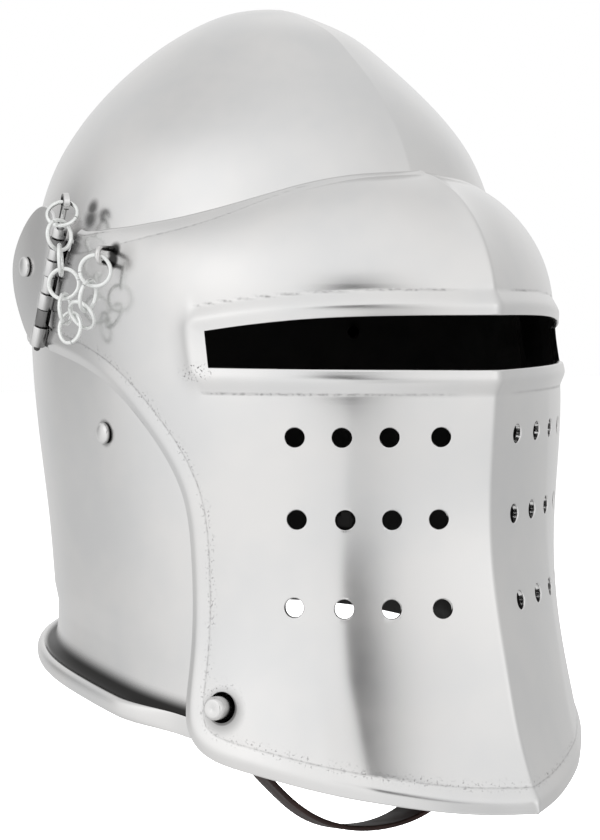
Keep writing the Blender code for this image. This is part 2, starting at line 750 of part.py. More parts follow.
def peg_line():
    """Centre of the peg on the visor's outer surface and the direction it slides out."""
    y, z = PEG_PLACE
    share = y / hermite(VISOR_STATIONS, z, 1)
    point = visor_at(share, z) * np.array((-1, 1, 1))
    axis = np.array(PEG_AXIS)
    return point, axis / np.linalg.norm(axis)


def locking_peg(look):
    centre, axis = peg_line()
    profile = [(-15.2, 6.6), (-13.6, 6.6), (-13.59, PEG), (5.4, PEG), (6.3, PEG - 0.5), (6.6, PEG - 1.2)]
    return turned("locking_peg", centre, axis, profile, look, 24)


def strap_path():
    """The middle line of the chin strap from one side rivet, under the chin, to the other."""
    y, z = -26.0, -158.5
    half = []
    for back, down, gap in STRAP_LINE:
        inside = skull_x(y + back, z + down) - PLATE - STRAP_THICK / 2
        half.append(np.array((inside - gap, y + back, z + down)))
    for place in STRAP_UNDER:
        half.append(np.array(place))
    line = half + [p * np.array((-1, 1, 1)) for p in reversed(half[:-1])]
    return line


def strap(look):
    line = strap_path()
    across = []
    for p in line:
        slope = 0.0
        if p[2] > NECK_LINE + 10:
            slope = (skull_x(p[1] + 2, p[2]) - skull_x(p[1] - 2, p[2])) / 4 * math.copysign(1, p[0])
        under = blend(NECK_LINE + 20, NECK_LINE - 10, p[2])  # below the skull it leans with the jaw
        across.append((slope - 0.3 * under * max(-1.0, min(1.0, p[0] / 40)), 1.0, -0.2 * under))
    made = swept("chin_strap", line, STRAP_WIDE, STRAP_THICK, look, across)
    for side in (-1, 1):
        flip = np.array((side, 1, 1))
        place, out = skull_places()[0][1:3]
        cut(made, turned("hole", (place - out * 9) * flip, out * flip, ((0, 1.8), (14, 1.8)), None, 12))
    return made


def build():
    for obj in list(bpy.data.objects):
        bpy.data.objects.remove(obj, do_unlink=True)
    steel = material("satin_steel", (0.62, 0.62, 0.63), 0.3, 1.0)
    leather = material("dark_leather", (0.035, 0.028, 0.026), 0.6, 0.0)
    wire = material("zinc_wire", (0.75, 0.75, 0.74), 0.28, 1.0)
    skull(steel)
    visor(steel)
    for side in (-1, 1):
        pivot_plate(side, steel)
        pivot_rivet(side, steel)
        hinge_pin(side, steel)
        staple(side, steel)
        chain(side, wire)
    skull_rivets(steel)
    locking_peg(steel)
    strap(leather)


build()
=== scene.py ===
import math

import bmesh
import bpy
import numpy as np
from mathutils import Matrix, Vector, noise
from mathutils.bvhtree import BVHTree
from mathutils.kdtree import KDTree


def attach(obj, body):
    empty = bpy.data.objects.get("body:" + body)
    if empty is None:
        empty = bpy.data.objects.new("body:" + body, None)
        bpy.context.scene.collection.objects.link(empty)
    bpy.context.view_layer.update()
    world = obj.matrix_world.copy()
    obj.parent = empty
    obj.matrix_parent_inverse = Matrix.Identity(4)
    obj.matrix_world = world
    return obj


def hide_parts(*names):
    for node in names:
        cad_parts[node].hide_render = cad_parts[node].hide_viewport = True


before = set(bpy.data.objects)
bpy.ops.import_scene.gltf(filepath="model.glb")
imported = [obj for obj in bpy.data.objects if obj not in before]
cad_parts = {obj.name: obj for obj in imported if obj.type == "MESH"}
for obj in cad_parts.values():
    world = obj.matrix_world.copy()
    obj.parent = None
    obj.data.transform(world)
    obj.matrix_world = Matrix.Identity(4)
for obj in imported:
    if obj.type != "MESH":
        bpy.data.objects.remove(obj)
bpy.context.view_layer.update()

mm = 0.001  # shapes below are worked out in millimetres
right, left = -1, 1  # the wearer's right is towards -X
mirror = np.array((-1.0, 1.0, 1.0))  # carries a place to the wearer's other side


# shared helpers for numbers

def ramp(low, high, value):
    t = np.clip((value - low) / (high - low), 0.0, 1.0)
    return t * t * (3 - 2 * t)


def softKink(value, radius):
    # nothing below zero, the value itself above it, with a rounded corner between them
    return radius * np.logaddexp(0.0, value / radius)


def smoothCurve(keys, values):
    # natural cubic spline: curvature never jumps, so reflections run on without kinks
    order = np.argsort(keys)
    keys = np.array(keys, float)[order]
    values = np.array(values, float)[order]
    gap = np.diff(keys)
    count = len(keys)
    rows = np.eye(count)
    target = np.zeros(count)
    for i in range(1, count - 1):
        rows[i, i - 1:i + 2] = gap[i - 1], 2 * (gap[i - 1] + gap[i]), gap[i]
        target[i] = 6 * ((values[i + 1] - values[i]) / gap[i] - (values[i] - values[i - 1]) / gap[i - 1])
    bend = np.linalg.solve(rows, target)

    def at(place):
        place = np.clip(place, keys[0], keys[-1])
        i = np.clip(np.searchsorted(keys, place) - 1, 0, count - 2)
        a = (keys[i + 1] - place) / gap[i]
        b = 1 - a
        lift = ((a**3 - a) * bend[i] + (b**3 - b) * bend[i + 1]) * gap[i]**2 / 6
        return a * values[i] + b * values[i + 1] + lift
    return at


def tableCurves(table, keyColumn=0):
    return [smoothCurve([row[keyColumn] for row in table], [row[k] for row in table])
            for k in range(len(table[0]))]


def spread(low, high, stepAt):
    # places from low to high whose spacing follows a wanted step
    fine = np.linspace(low, high, 3000)
    count = np.concatenate([[0], np.cumsum(np.diff(fine) / stepAt((fine[1:] + fine[:-1]) / 2))])
    whole = max(int(round(count[-1])), 1)
    return np.interp(np.linspace(0, count[-1], whole + 1), count, fine)


def lengthAlong(points):
    return np.concatenate([[0], np.cumsum(np.linalg.norm(np.diff(points, axis=0), axis=1))])


def resampled(points, places):
    run = lengthAlong(points)
    return np.stack([np.interp(places, run, points[:, k]) for k in range(points.shape[1])], axis=1)


def softened(points, samples):
    # a running mean along the first axis; both ends stay where they are
    width = int(samples * 3)
    weight = np.exp(-0.5 * (np.arange(-width, width + 1) / samples)**2)
    weight /= weight.sum()
    before = 2 * points[0] - points[width:0:-1]
    after = 2 * points[-1] - points[-2:-width - 2:-1]
    longer = np.concatenate([before, points, after])
    return sum(w * longer[i:i + len(points)] for i, w in enumerate(weight))


def distanceTo(points, line):
    # distance from each point to a densely drawn line
    run = lengthAlong(line)
    tree = nearestTree(resampled(line, np.linspace(0, run[-1], int(run[-1] / 0.2))))
    flat = points.reshape(-1, 3)
    return np.array([tree.find(p)[2] for p in flat]).reshape(points.shape[:-1])


def nearestTree(points):
    tree = KDTree(len(points))
    for i, p in enumerate(points):
        tree.insert(p, i)
    tree.balance()
    return tree


def gridNormals(grid):
    rows = np.gradient(grid, axis=0)
    columns = np.gradient(grid, axis=1)
    normal = np.cross(rows, columns)
    return normal / (np.linalg.norm(normal, axis=2, keepdims=True) + 1e-12)


def unit(vector):
    vector = np.array(vector, float)
    return vector / np.linalg.norm(vector)


def crossways(axis, near=(0.0, 0.0, 1.0)):
    axis = unit(axis)
    near = np.array(near, float)
    if abs(axis @ near) > 0.95:
        near = np.array((0.0, 1.0, 0.0))
    side = unit(np.cross(axis, near))
    return side, np.cross(side, axis), axis


def sideWord(side):
    return "right" if side == right else "left"


def ripple(points, size, seed):
    # slow swells left in a hand-raised plate
    shift = np.array((seed * 7.3, seed * 3.1, seed * 5.7))
    flat = points.reshape(-1, 3) / size + shift
    return np.array([noise.noise(Vector(p)) for p in flat]).reshape(points.shape[:-1])


# shared helpers for meshes

def newPiece(name, points, faces, look, faceLooks=None):
    mesh = bpy.data.meshes.new(name)
    points = np.asarray(points, float) * mm
    mesh.from_pydata([tuple(p) for p in points.tolist()], [], faces)
    for each in look if isinstance(look, (list, tuple)) else [look]:
        if each is not None:
            mesh.materials.append(each)
    if faceLooks is not None:
        mesh.polygons.foreach_set("material_index", faceLooks)
    piece = bpy.data.objects.new(name, mesh)
    bpy.context.scene.collection.objects.link(piece)
    faceOutwards(mesh)
    return piece


def faceOutwards(mesh):
    mesh.calc_loop_triangles()
    corners = np.zeros(len(mesh.vertices) * 3)
    mesh.vertices.foreach_get("co", corners)
    corners = corners.reshape(-1, 3)
    triangles = np.zeros(len(mesh.loop_triangles) * 3, int)
    mesh.loop_triangles.foreach_get("vertices", triangles)
    a, b, c = corners[triangles.reshape(-1, 3)].transpose(1, 0, 2)
    if (np.cross(a, b) * c).sum() < 0:
        mesh.flip_normals()


def smoothShaded(piece, sharpFrom=35, weighted=False):
    piece.data.shade_smooth()
    piece.data.set_sharp_from_angle(angle=math.radians(sharpFrom))
    if weighted:  # large faces beside a cut keep their own direction
        step = piece.modifiers.new("shading", "WEIGHTED_NORMAL")
        step.keep_sharp = True
        step.weight = 50
        applyModifiers(piece)
    return piece


def boolean(piece, other, operation="DIFFERENCE"):
    step = piece.modifiers.new("step", "BOOLEAN")
    step.operation = operation
    step.solver = "EXACT"
    step.object = other
    applyModifiers(piece)
    bpy.data.objects.remove(other, do_unlink=True)


def applyModifiers(piece):
    graph = bpy.context.evaluated_depsgraph_get()
    graph.update()
    mesh = bpy.data.meshes.new_from_object(piece.evaluated_get(graph))
    piece.modifiers.clear()
    old = piece.data
    piece.data = mesh
    bpy.data.meshes.remove(old)


def turned(name, base, axis, profile, look, sides=48):
    # profile: distance along the axis, radius
    side, up, axis = crossways(axis)
    base = np.array(base, float)
    angles = 2 * math.pi * np.arange(sides) / sides
    around = np.cos(angles)[:, None] * side + np.sin(angles)[:, None] * up
    points = [base + axis * profile[0][0]]
    for along, radius in profile:
        points.extend(base + axis * along + radius * around)
    points.append(base + axis * profile[-1][0])
    last = len(points) - 1
    faces = []
    for k in range(sides):
        after = (k + 1) % sides
        faces.append((0, 1 + after, 1 + k))
        for ring in range(len(profile) - 1):
            low = 1 + ring * sides
            faces.append((low + k, low + after, low + sides + after, low + sides + k))
        top = 1 + (len(profile) - 1) * sides
        faces.append((last, top + k, top + after))
    return newPiece(name, points, faces, look)


def swept(name, path, section, look, across):
    # section: points (sideways, up) of the outline, carried along the path
    path = np.array(path, float)
    count = len(path)
    ring = len(section)
    points = []
    for i in range(count):
        along = unit(path[min(i + 1, count - 1)] - path[max(i - 1, 0)])
        side = np.array(across[i], float)
        side = unit(side - along * (side @ along))
        up = np.cross(along, side)
        points.extend(path[i] + a * side + b * up for a, b in section)
    faces = []
    for i in range(count - 1):
        for k in range(ring):
            m = (k + 1) % ring
            faces.append((i * ring + k, i * ring + m, (i + 1) * ring + m, (i + 1) * ring + k))
    faces.append(tuple(range(ring))[::-1])
    faces.append(tuple((count - 1) * ring + k for k in range(ring)))
    return newPiece(name, points, faces, look)


def circleSection(radius, sides=14):
    angles = 2 * math.pi * np.arange(sides) / sides
    return [(radius * math.cos(a), radius * math.sin(a)) for a in angles]


def prism(name, outline, low, high, look=None):
    # a block with an outline in (y, z), run along X
    count = len(outline)
    points = [(place, a, b) for place in (low, high) for a, b in outline]
    faces = [tuple(range(count)), tuple(range(2 * count - 1, count - 1, -1))]
    faces += [(k, k + count, (k + 1) % count + count, (k + 1) % count) for k in range(count)]
    return newPiece(name, points, faces, look)


def markVertices(piece, name, values):
    mark = piece.data.attributes.new(name, "FLOAT", "POINT")
    mark.data.foreach_set("value", np.asarray(values, np.float32))


def vertexPlaces(piece):
    places = np.zeros(len(piece.data.vertices) * 3)
    piece.data.vertices.foreach_get("co", places)
    return places.reshape(-1, 3) / mm


def placed(piece, body, slot, *nodes):
    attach(piece, body)
    if nodes:
        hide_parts(*nodes)
    return piece


# looks

def linear(hexColour):
    # sRGB hex to linear
    parts = [int(hexColour[i:i + 2], 16) / 255 for i in (1, 3, 5)]
    return tuple(c / 12.92 if c <= 0.04045 else ((c + 0.055) / 1.055)**2.4 for c in parts) + (1.0,)


noiseNode = "ShaderNodeTexNoise"
mathNode = "ShaderNodeMath"
rangeNode = "ShaderNodeMapRange"
mixNode = "ShaderNodeMix"
bumpNode = "ShaderNodeBump"
shaderNode = "ShaderNodeBsdfPrincipled"
vectorNode = "ShaderNodeVectorMath"
placeNode = "ShaderNodeTexCoord"


def addNode(tree, kind, settings=None, **links):
    # settings: attributes by name, or input values by their label; links: input label = output socket
    node = tree.nodes.new(kind)
    for key, value in (settings or {}).items():
        if isinstance(key, int) or key in node.inputs:
            node.inputs[key].default_value = value
        else:
            setattr(node, key, value)
    for key, socket in links.items():
        place = int(key[1:]) if key[0] == "i" and key[1:].isdigit() else key.replace("_", " ")
        tree.links.new(socket, node.inputs[place])
    return node


def sums(tree, operation, *values, clamp=False):
    # values: numbers or output sockets
    settings, links = {"operation": operation, "use_clamp": clamp}, {}
    for place, value in enumerate(values):
        if isinstance(value, (int, float)):
            settings[place] = value
        else:
            links["i" + str(place)] = value
    return addNode(tree, mathNode, settings, **links).outputs[0]


def mapped(tree, value, low, high, first=0.0, last=1.0, smooth=False):
    # what lies between low and high is carried to first and last, and held at both ends
    kind = "SMOOTHSTEP" if smooth else "LINEAR"
    return addNode(tree, rangeNode, {"interpolation_type": kind, 1: low, 2: high, 3: first, 4: last},
                   i0=value).outputs[0]


def mixed(tree, share, first, second):
    # two colours, each given as hex or as an output socket
    settings, links = {"data_type": "RGBA"}, {"i0": share}
    for place, colour in ((6, first), (7, second)):
        if isinstance(colour, str):
            settings[place] = linear(colour)
        else:
            links["i" + str(place)] = colour
    return addNode(tree, mixNode, settings, **links).outputs[2]


def patches(tree, place, size, detail, roughness=0.5):
    # soft noise with patches of about this size in mm
    return addNode(tree, noiseNode, {"Scale": 1 / (size * mm), "Detail": detail, "Roughness": roughness},
                   Vector=place).outputs["Fac"]


def emptyMaterial(name):
    made = bpy.data.materials.new(name)
    made.use_nodes = True
    tree = made.node_tree
    tree.nodes.clear()
    return made, tree, addNode(tree, placeNode).outputs["Object"]


def finishMaterial(made, shader, bump=None):
    tree = made.node_tree
    if bump:
        tree.links.new(bump.outputs["Normal"], shader.inputs["Normal"])
    addNode(tree, "ShaderNodeOutputMaterial", Surface=shader.outputs[0])
    return made


satin = {
    "colour": "#dedddc", "cooler": "#d8d8d8", "dirtAndShade": "#171615", "roughness": 0.21,
    "cloud": 42.0,  # mm, size of the slow changes left by the polishing mop
    "brushStep": 0.4,  # mm between polishing lines; the real ones are near 0.1 mm and would not show
    "brushRun": 18.0,  # mm, how long a polishing line runs
    "pit": 0.9,  # mm
}


def stainMask(tree, place, darkSpots):
    # soft round dark spots: centre, size where it is full, size where it ends, strength
    total = None
    for centre, full, end, strength in darkSpots:
        away = addNode(tree, vectorNode, {"operation": "DISTANCE", 1: tuple(np.array(centre) * mm)}, i0=place)
        spot = mapped(tree, away.outputs["Value"], full * mm, end * mm, strength, 0.0, smooth=True)
        total = spot if total is None else sums(tree, "MAXIMUM", spot, total)
    return total


def satinSteel(name, brushed=1.0, roughness=satin["roughness"], darkSpots=()):
    # mild steel raised by hammer and satin polished: bright and soft, with fine level lines,
    # slow clouding, and black scale left in the creases where the mop does not reach. The same near-black
    # colour is used for painted shade marked on the vertices and for round dark spots, most of them painted
    # shade or shadow
    made, tree, place = emptyMaterial(name)
    cloud = patches(tree, place, satin["cloud"], 4.0, 0.6)
    run, step = (1 / (satin[key] * mm) for key in ("brushRun", "brushStep"))
    stretch = addNode(tree, "ShaderNodeMapping", {"Scale": (run, run, step)}, Vector=place)
    brush = addNode(tree, noiseNode, {"Scale": 1.0, "Detail": 2.0}, Vector=stretch.outputs[0])
    pits = patches(tree, place, satin["pit"], 1.0)
    broken = patches(tree, place, 1.6, 4.0)
    fold, shadeMark, worn = (addNode(tree, "ShaderNodeAttribute", {"attribute_name": mark}).outputs["Fac"]
                         for mark in ("fold", "shadeMark", "pitted"))
    creased = sums(tree, "MULTIPLY", fold, mapped(tree, broken, 0.44, 0.66, 0.35, 1.0))
    spotted = sums(tree, "MULTIPLY", worn, mapped(tree, pits, 0.6, 0.72, 0.0, 0.85))
    dirtAndShade = sums(tree, "MAXIMUM", sums(tree, "MAXIMUM", creased, spotted), shadeMark, clamp=True)
    if darkSpots:
        dirtAndShade = sums(tree, "MAXIMUM", dirtAndShade, stainMask(tree, place, darkSpots), clamp=True)
    metal = mixed(tree, mapped(tree, cloud, 0.36, 0.64), satin["cooler"], satin["colour"])
    gloss = mapped(tree, cloud, 0.3, 0.7, roughness - 0.015, roughness + 0.025)
    shader = addNode(tree, shaderNode, {"Metallic": 1.0}, Base_Color=mixed(tree, dirtAndShade, metal, satin["dirtAndShade"]),
                     Roughness=sums(tree, "MULTIPLY_ADD", dirtAndShade, 0.1, gloss))
    scored = addNode(tree, bumpNode, {"Strength": 0.14 * brushed, "Distance": 0.02 * mm},
                     Height=brush.outputs["Fac"])
    sunk = addNode(tree, bumpNode, {"Strength": 0.08, "Distance": 0.05 * mm, "invert": True},
                   Height=spotted, Normal=scored.outputs[0])
    return finishMaterial(made, shader, sunk)


turnedSteel = satinSteel("turnedSteelFittings", 0.3, 0.17)


def scaledSteel():
    # painted shade: the inside faces, cut edges and hole walls are near black, so nearly no light comes back
    made, tree, place = emptyMaterial("paintedShadeInside")
    blotch = patches(tree, place, 9.0, 5.0)
    hammer = patches(tree, place, 14.0, 1.0)
    shader = addNode(tree, shaderNode, {"Specular IOR Level": 0.12},
                     Base_Color=mixed(tree, blotch, "#060606", "#121110"),
                     Roughness=mapped(tree, blotch, 0.3, 0.7, 0.55, 0.8))
    dents = addNode(tree, bumpNode, {"Strength": 0.4, "Distance": 0.5 * mm}, Height=hammer)
    return finishMaterial(made, shader, dents)


def zincWire():
    # drawn wire with a bright zinc coat: nearly white, a little uneven, its gloss changing with the spangle
    made, tree, place = emptyMaterial("zincCoatedDrawnWire")
    spangle = addNode(tree, "ShaderNodeTexVoronoi", {"Scale": 1 / (1.8 * mm)}, Vector=place)
    fine = patches(tree, place, 0.5, 2.0)
    shader = addNode(tree, shaderNode, {"Metallic": 1.0},
                     Base_Color=mixed(tree, fine, "#e9ebea", "#f4f5f3"),
                     Roughness=mapped(tree, spangle.outputs["Distance"], 0.0, 0.8, 0.24, 0.34))
    uneven = addNode(tree, bumpNode, {"Strength": 0.25, "Distance": 0.03 * mm}, Height=fine)
    return finishMaterial(made, shader, uneven)


def waxedLeather():
    # vegetable-tanned hide dyed nearly black and waxed: fine pebbled grain, some patches duller than others
    made, tree, place = emptyMaterial("waxedDyedLeather")
    grain = addNode(tree, "ShaderNodeTexVoronoi", {"Scale": 1 / (0.9 * mm)}, Vector=place)
    patch = patches(tree, place, 12.0, 4.0)
    shader = addNode(tree, shaderNode, {"Specular IOR Level": 0.14},
                     Base_Color=mixed(tree, patch, "#140d0b", "#2c1c18"),
                     Roughness=mapped(tree, patch, 0.3, 0.7, 0.5, 0.66))
    pebbled = addNode(tree, bumpNode, {"Strength": 0.5, "Distance": 0.1 * mm},
                      Height=grain.outputs["Distance"])
    return finishMaterial(made, shader, pebbled)


def mattePaper():
    # a roll of matte white paper: a faint fibre grain keeps the floor from looking like plain light
    made, tree, place = emptyMaterial("matteWhitePaper")
    fibre = patches(tree, place, 2.0, 3.0)
    shader = addNode(tree, shaderNode, {"Specular IOR Level": 0.2},
                     Base_Color=mixed(tree, fibre, "#f5f5f5", "#f7f7f7"),
                     Roughness=mapped(tree, fibre, 0.0, 1.0, 0.76, 0.86))
    return finishMaterial(made, shader)


insideShadeSteel = scaledSteel()
wire = zincWire()
leather = waxedLeather()
paper = mattePaper()


# hinges and pivots

hinge = {"top": (-3.4, -77.6), "foot": (18.6, -124.4), "x": 102.4, "wide": 3.4, "narrow": 2.9, "pin": 1.35,
         "joints": (0.0, 0.085, 0.17, 0.265, 0.40, 0.545, 0.68, 0.825, 1.0), "slot": 6.2}
rivets = {"side": {"place": (-25.2, -158.0), "radius": 4.2, "height": 2.9},
          "rear": {"place": (60.0, -121.0), "radius": 3.0, "height": 2.0},
          "pivot": {"place": (31.5, -92.4), "radius": 4.2, "height": 2.2}}
stapleShape = {"place": (-98.6, -35.4, -89.5), "out": 6.6, "half": 2.75, "lean": 0.79, "radius": 1.05}
pivot = {"plateX": 99.3, "thick": 1.8,
         "outline": ((6.5, -71.6), (13.0, -68.6), (20.0, -68.8), (27.5, -71.8), (35.0, -77.0), (41.0, -83.2),
                     (45.0, -91.0), (44.8, -99.5), (41.6, -107.5), (36.8, -114.8), (31.5, -120.6),
                     (27.0, -123.6))}


def hingePoint(share, side):
    y = hinge["top"][0] + (hinge["foot"][0] - hinge["top"][0]) * share
    z = hinge["top"][1] + (hinge["foot"][1] - hinge["top"][1]) * share
    return np.array((side * hinge["x"], y, z))


# skull

skullShape = {
    "plate": 2.0, "neckLine": -261.0, "neckTilt": 0.095, "neckRoll": 0.037,  # the rim sits higher on the left
    "rowStep": 2.4, "columns": 140, "keelGrade": 1.22, "soften": 9.0, "swell": 0.14, "swellSize": 55.0,
    "wallEnd": 30.5,  # how far above the neck line the wall's rows give way to the rim's
    "rimRows": 70, "brightRows": 48,  # rows over the rim, and how many of them keep the steel before the painted shade of the inside begins
    # height, half width, front, rear, middle
    "stations": (
        (17.3, 0.0, 8.0, 8.0, 8.0), (15.9, 12.5, -6.0, 20.5, 8.0), (11.8, 24.5, -18.5, 34.0, 8.0),
        (3.5, 39.0, -39.0, 51.5, 7.0), (-8.0, 53.5, -55.6, 69.0, 6.0), (-24.0, 68.5, -74.0, 87.0, 5.0),
        (-45.0, 83.0, -90.7, 100.5, 4.0), (-70.0, 92.5, -101.0, 107.5, 3.0),
        (-100.0, 96.0, -112.0, 111.5, 2.0), (-130.0, 96.5, -126.0, 112.0, 0.0),
        (-165.0, 94.5, -140.0, 107.0, 0.0), (-205.0, 91.5, -152.0, 99.5, 0.0),
        (-261.0, 89.5, -162.0, 92.5, 0.0)),
    # neck rim from the wall over its roll to the inside: height above the neck line, distance outwards
    "rim": ((22.0, 0.0), (15.0, 0.1), (10.0, 0.5), (6.6, 1.3), (4.4, 2.6), (3.4, 4.2), (3.7, 5.6),
            (4.3, 6.6), (4.2, 7.7), (3.0, 8.8), (0.6, 9.2), (-1.8, 8.7), (-3.2, 7.3), (-3.3, 5.6),
            (-1.6, 4.0), (1.4, 2.2), (5.4, 0.0), (10.5, -1.6), (22.0, -2.0)),
    # edge of the face opening seen from the side: place, height
    "faceEdge": ((-97.0, -93.0), (-83.0, -96.0), (-71.0, -104.0), (-65.5, -119.0), (-69.0, -140.0),
                 (-79.0, -165.0), (-88.0, -200.0), (-96.0, -232.0), (-107.0, -262.0), (-112.0, -300.0)),
}


def mirroredStations():
    # the stations run on through the crown to the other side, so the crown stays round
    stations = skullShape["stations"]
    last = len(stations) - 1
    rows = []
    for i, (z, wide, front, rear, middle) in enumerate(stations):
        rows.append((i, z, wide, front - middle, rear - middle, middle))
        if i:
            rows.append((-i, z, -wide, middle - front, middle - rear, middle))
    return tableCurves(rows), last


skullCurves, skullLast = mirroredStations()


def skullSection(share):
    # half of a level section from the front over the side to the rear, 1 mm apart or closer
    z, wide, front, rear, middle = (float(curve(share)) for curve in skullCurves[1:])
    angles = np.linspace(0, math.pi, 721)
    c = np.cos(angles)
    t = ramp(-60.0, -130.0, z)
    oval = 1.65 + 0.2 * ramp(0.0, -50.0, z)
    power = oval + (1.0 - oval) * t
    cheek = oval + (3.2 - oval) * t
    ahead = np.clip(c, 0, 1)
    back = 2 / 2.3  # a little fuller than an ellipse
    x = np.where(c >= 0, wide * np.clip(1 - ahead**cheek, 0, 1)**(1 / power),
                 wide * np.abs(np.sin(angles))**back)
    y = np.where(c >= 0, middle + front * c, middle + rear * np.abs(c)**back)
    half = np.stack([x, y, np.full(len(x), z)], axis=1)
    half[-1, 0] = 0.0
    run = lengthAlong(half)[-1]
    half = resampled(half, np.linspace(0, run, 401))
    through = np.concatenate([half, half[-2::-1] * mirror])  # on round the rear, so it stays round there
    sigma = min(skullShape["soften"] / run, 0.05) * 400
    return softened(through, sigma)[:401]


def skullX(y, z):
    share = np.interp(-z, [-s[0] for s in skullShape["stations"]], range(skullLast + 1))
    half = skullSection(share)
    return float(np.interp(y, half[:, 1], half[:, 0]))


def neckDrop(points):
    share = ramp(-165.0, skullShape["neckLine"], points[..., 2])
    drop = skullShape["neckTilt"] * points[..., 1] + skullShape["neckRoll"] * (points[..., 0] + 95.0)
    points[..., 2] += share * drop
    return points


def skullOuter():
    shares = np.linspace(0.02, skullLast, 900)
    profile = np.array([(float(skullCurves[3](s)), float(skullCurves[1](s))) for s in shares])
    run = lengthAlong(profile)
    wanted = spread(run[0] + 1.2, run[-1], lambda s: np.interp(s, (0, 40), (1.2, skullShape["rowStep"])))
    rows = []
    places = (np.arange(skullShape["columns"] + 1) / skullShape["columns"])**skullShape["keelGrade"]
    for share in np.interp(wanted, run, shares):
        half = skullSection(share)
        half = resampled(half, places * lengthAlong(half)[-1])
        rows.append(np.concatenate([half, half[-2:0:-1] * mirror]))
    return neckDrop(np.array(rows))


def rollFullness(places):
    # the rolled rim thins out towards the face opening
    return 0.12 + 0.88 * ramp(-66.0, -36.0, places[:, 1])


def skullPiece():
    outer = skullOuter()
    closed = np.concatenate([outer[:, -2:], outer, outer[:, :2]], axis=1)
    normal = gridNormals(closed)[:, 2:-2]
    if normal[5, 40, 0] * outer[5, 40, 0] < 0:
        normal = -normal
    inner = outer - normal * skullShape["plate"]
    fade = ramp(0.0, 25.0, np.linalg.norm(outer[:, :, :2] - outer[0, :, :2].mean(axis=0), axis=2))
    swell = ripple(outer, skullShape["swellSize"], 1) * skullShape["swell"] * fade
    outer = outer + normal * swell[:, :, None]
    flat = normal[-1] * np.array((1.0, 1.0, 0.0))
    flat /= np.linalg.norm(flat, axis=1, keepdims=True)
    edge = outer[-1]
    thin = rollFullness(edge)[:, None]
    rim = skullShape["rim"]
    rimPlaces = np.linspace(0, len(rim) - 1, skullShape["rimRows"])
    heights = smoothCurve(range(len(rim)), [p[0] for p in rim])(rimPlaces)
    outs = smoothCurve(range(len(rim)), [p[1] for p in rim])(rimPlaces)
    wallEnd = skullShape["neckLine"] + skullShape["wallEnd"]
    keep = [i for i in range(len(outer)) if outer[i, :, 2].mean() > wallEnd]
    rows = [outer[i] for i in keep]
    plate = skullShape["plate"]
    inward = np.clip((rimPlaces - 12) / 6, 0, 1)
    for height, out, turn in zip(heights, outs, inward):
        base = -plate * turn
        rows.append(edge + flat * (base + (out - base) * thin) + np.array((0.0, 0.0, height)))
    rows += [inner[i] for i in reversed(keep) if i % 2 == 0 or i < 6]
    rows = np.array(rows)
    count = rows.shape[1]
    crown = np.array((0.0, skullShape["stations"][0][4], skullShape["stations"][0][0]))
    points = np.concatenate([[crown], rows.reshape(-1, 3), [crown - (0, 0, plate)]])
    last = len(points) - 1
    faces, looks = [], []
    # rows past the rim's steel part, and the whole inside, get the near-black painted shade of the inside
    turnRow = len(keep) + skullShape["brightRows"]
    for r in range(len(rows) - 1):
        low = 1 + r * count
        for k in range(count):
            m = (k + 1) % count
            faces.append((low + k, low + m, low + count + m, low + count + k))
            looks.append(int(r > turnRow))
    for k in range(count):
        m = (k + 1) % count
        faces.append((0, 1 + m, 1 + k))
        looks.append(0)
        low = 1 + (len(rows) - 1) * count
        faces.append((last, low + k, low + m))
        looks.append(1)
    darkSpots = []
    for side in (right, left):
        # a darker ring round the foot of each rivet
        for facts in rivets.values():
            y, z = facts["place"]
            centre = (side * skullX(y, z), y, z)
            darkSpots.append((centre, facts["radius"] - 0.2, facts["radius"] + 2.0, 0.62))
        for share in (0.2, 0.5, 0.8):  # painted shade behind the hinge
            darkSpots.append((hingePoint(share, side) + (side * -4.0, -2.0, 0.0), 5.5, 11.5, 0.9))
        for up, end in ((-70.0, 5.0), (-74.5, 6.5)):  # painted shadow of the pin's eye on the skull
            darkSpots.append(((side * skullX(-9.5, up), -9.5, up), 1.0, end, 0.8))
    centre, axis = pegLine()
    # painted shade on the skull, seen through the peg's hole
    darkSpots.append((centre - axis * 3, 8.0, 10.0, 1.0))
    steel = satinSteel("satinPolishedSkullSteel", darkSpots=darkSpots)
    piece = newPiece("skullShell", points, faces, [steel, insideShadeSteel], looks)
    outline = [(-260.0, -93.0)] + list(skullShape["faceEdge"]) + [(-260.0, -300.0)]
    boolean(piece, prism("opening", outline, -150.0, 150.0))
    bore = peg["radius"] + 0.4
    boolean(piece, turned("hole", centre - axis * 16, axis, ((0, bore), (28, bore)), None))
    smoothShaded(piece)
    markSkull(piece, edge)
    print("skull shell:", len(piece.data.polygons), "faces")
    return placed(piece, "skull", "steel", "skull")


def markSkull(piece, edge):
    # painted shade in the cove over the rim, and the cut edge of the face opening gets the near-black painted
    # shade of the inside
    places = vertexPlaces(piece)
    tree = nearestTree(edge)
    nearest = edge[[tree.find(p)[1] for p in places]]
    above = places[:, 2] - nearest[:, 2]
    outside = np.linalg.norm(places[:, :2] - nearest[:, :2], axis=1) / rollFullness(nearest)
    shadeMark = ramp(6.9, 4.2, outside) * ramp(0.5, 2.6, above)
    shadeMark *= 0.97 * ramp(12.5, 6.0, above)**1.3
    outline = np.array(skullShape["faceEdge"])
    run = lengthAlong(outline)
    opening = resampled(outline, np.linspace(0, run[-1], 300))
    tree = nearestTree(np.column_stack([np.zeros(len(opening)), opening]))
    for face in piece.data.polygons:
        centre = np.array(face.center) / mm
        if abs(face.normal.x) < 0.2 and tree.find((0.0, centre[1], centre[2]))[2] < 0.8:
            face.material_index = 1
    markVertices(piece, "shadeMark", shadeMark)


# locking peg

peg = {"place": (-92.3, -255.2), "axis": (-0.876, -0.467, 0.12), "radius": 4.3, "hole": 5.7}


def pegLine():
    y, z = peg["place"]
    keel = float(visorCurves[1](z))
    share = y / keel
    return visorPoint(np.array([share]), np.array([z]))[0] * mirror, unit(peg["axis"])


# visor

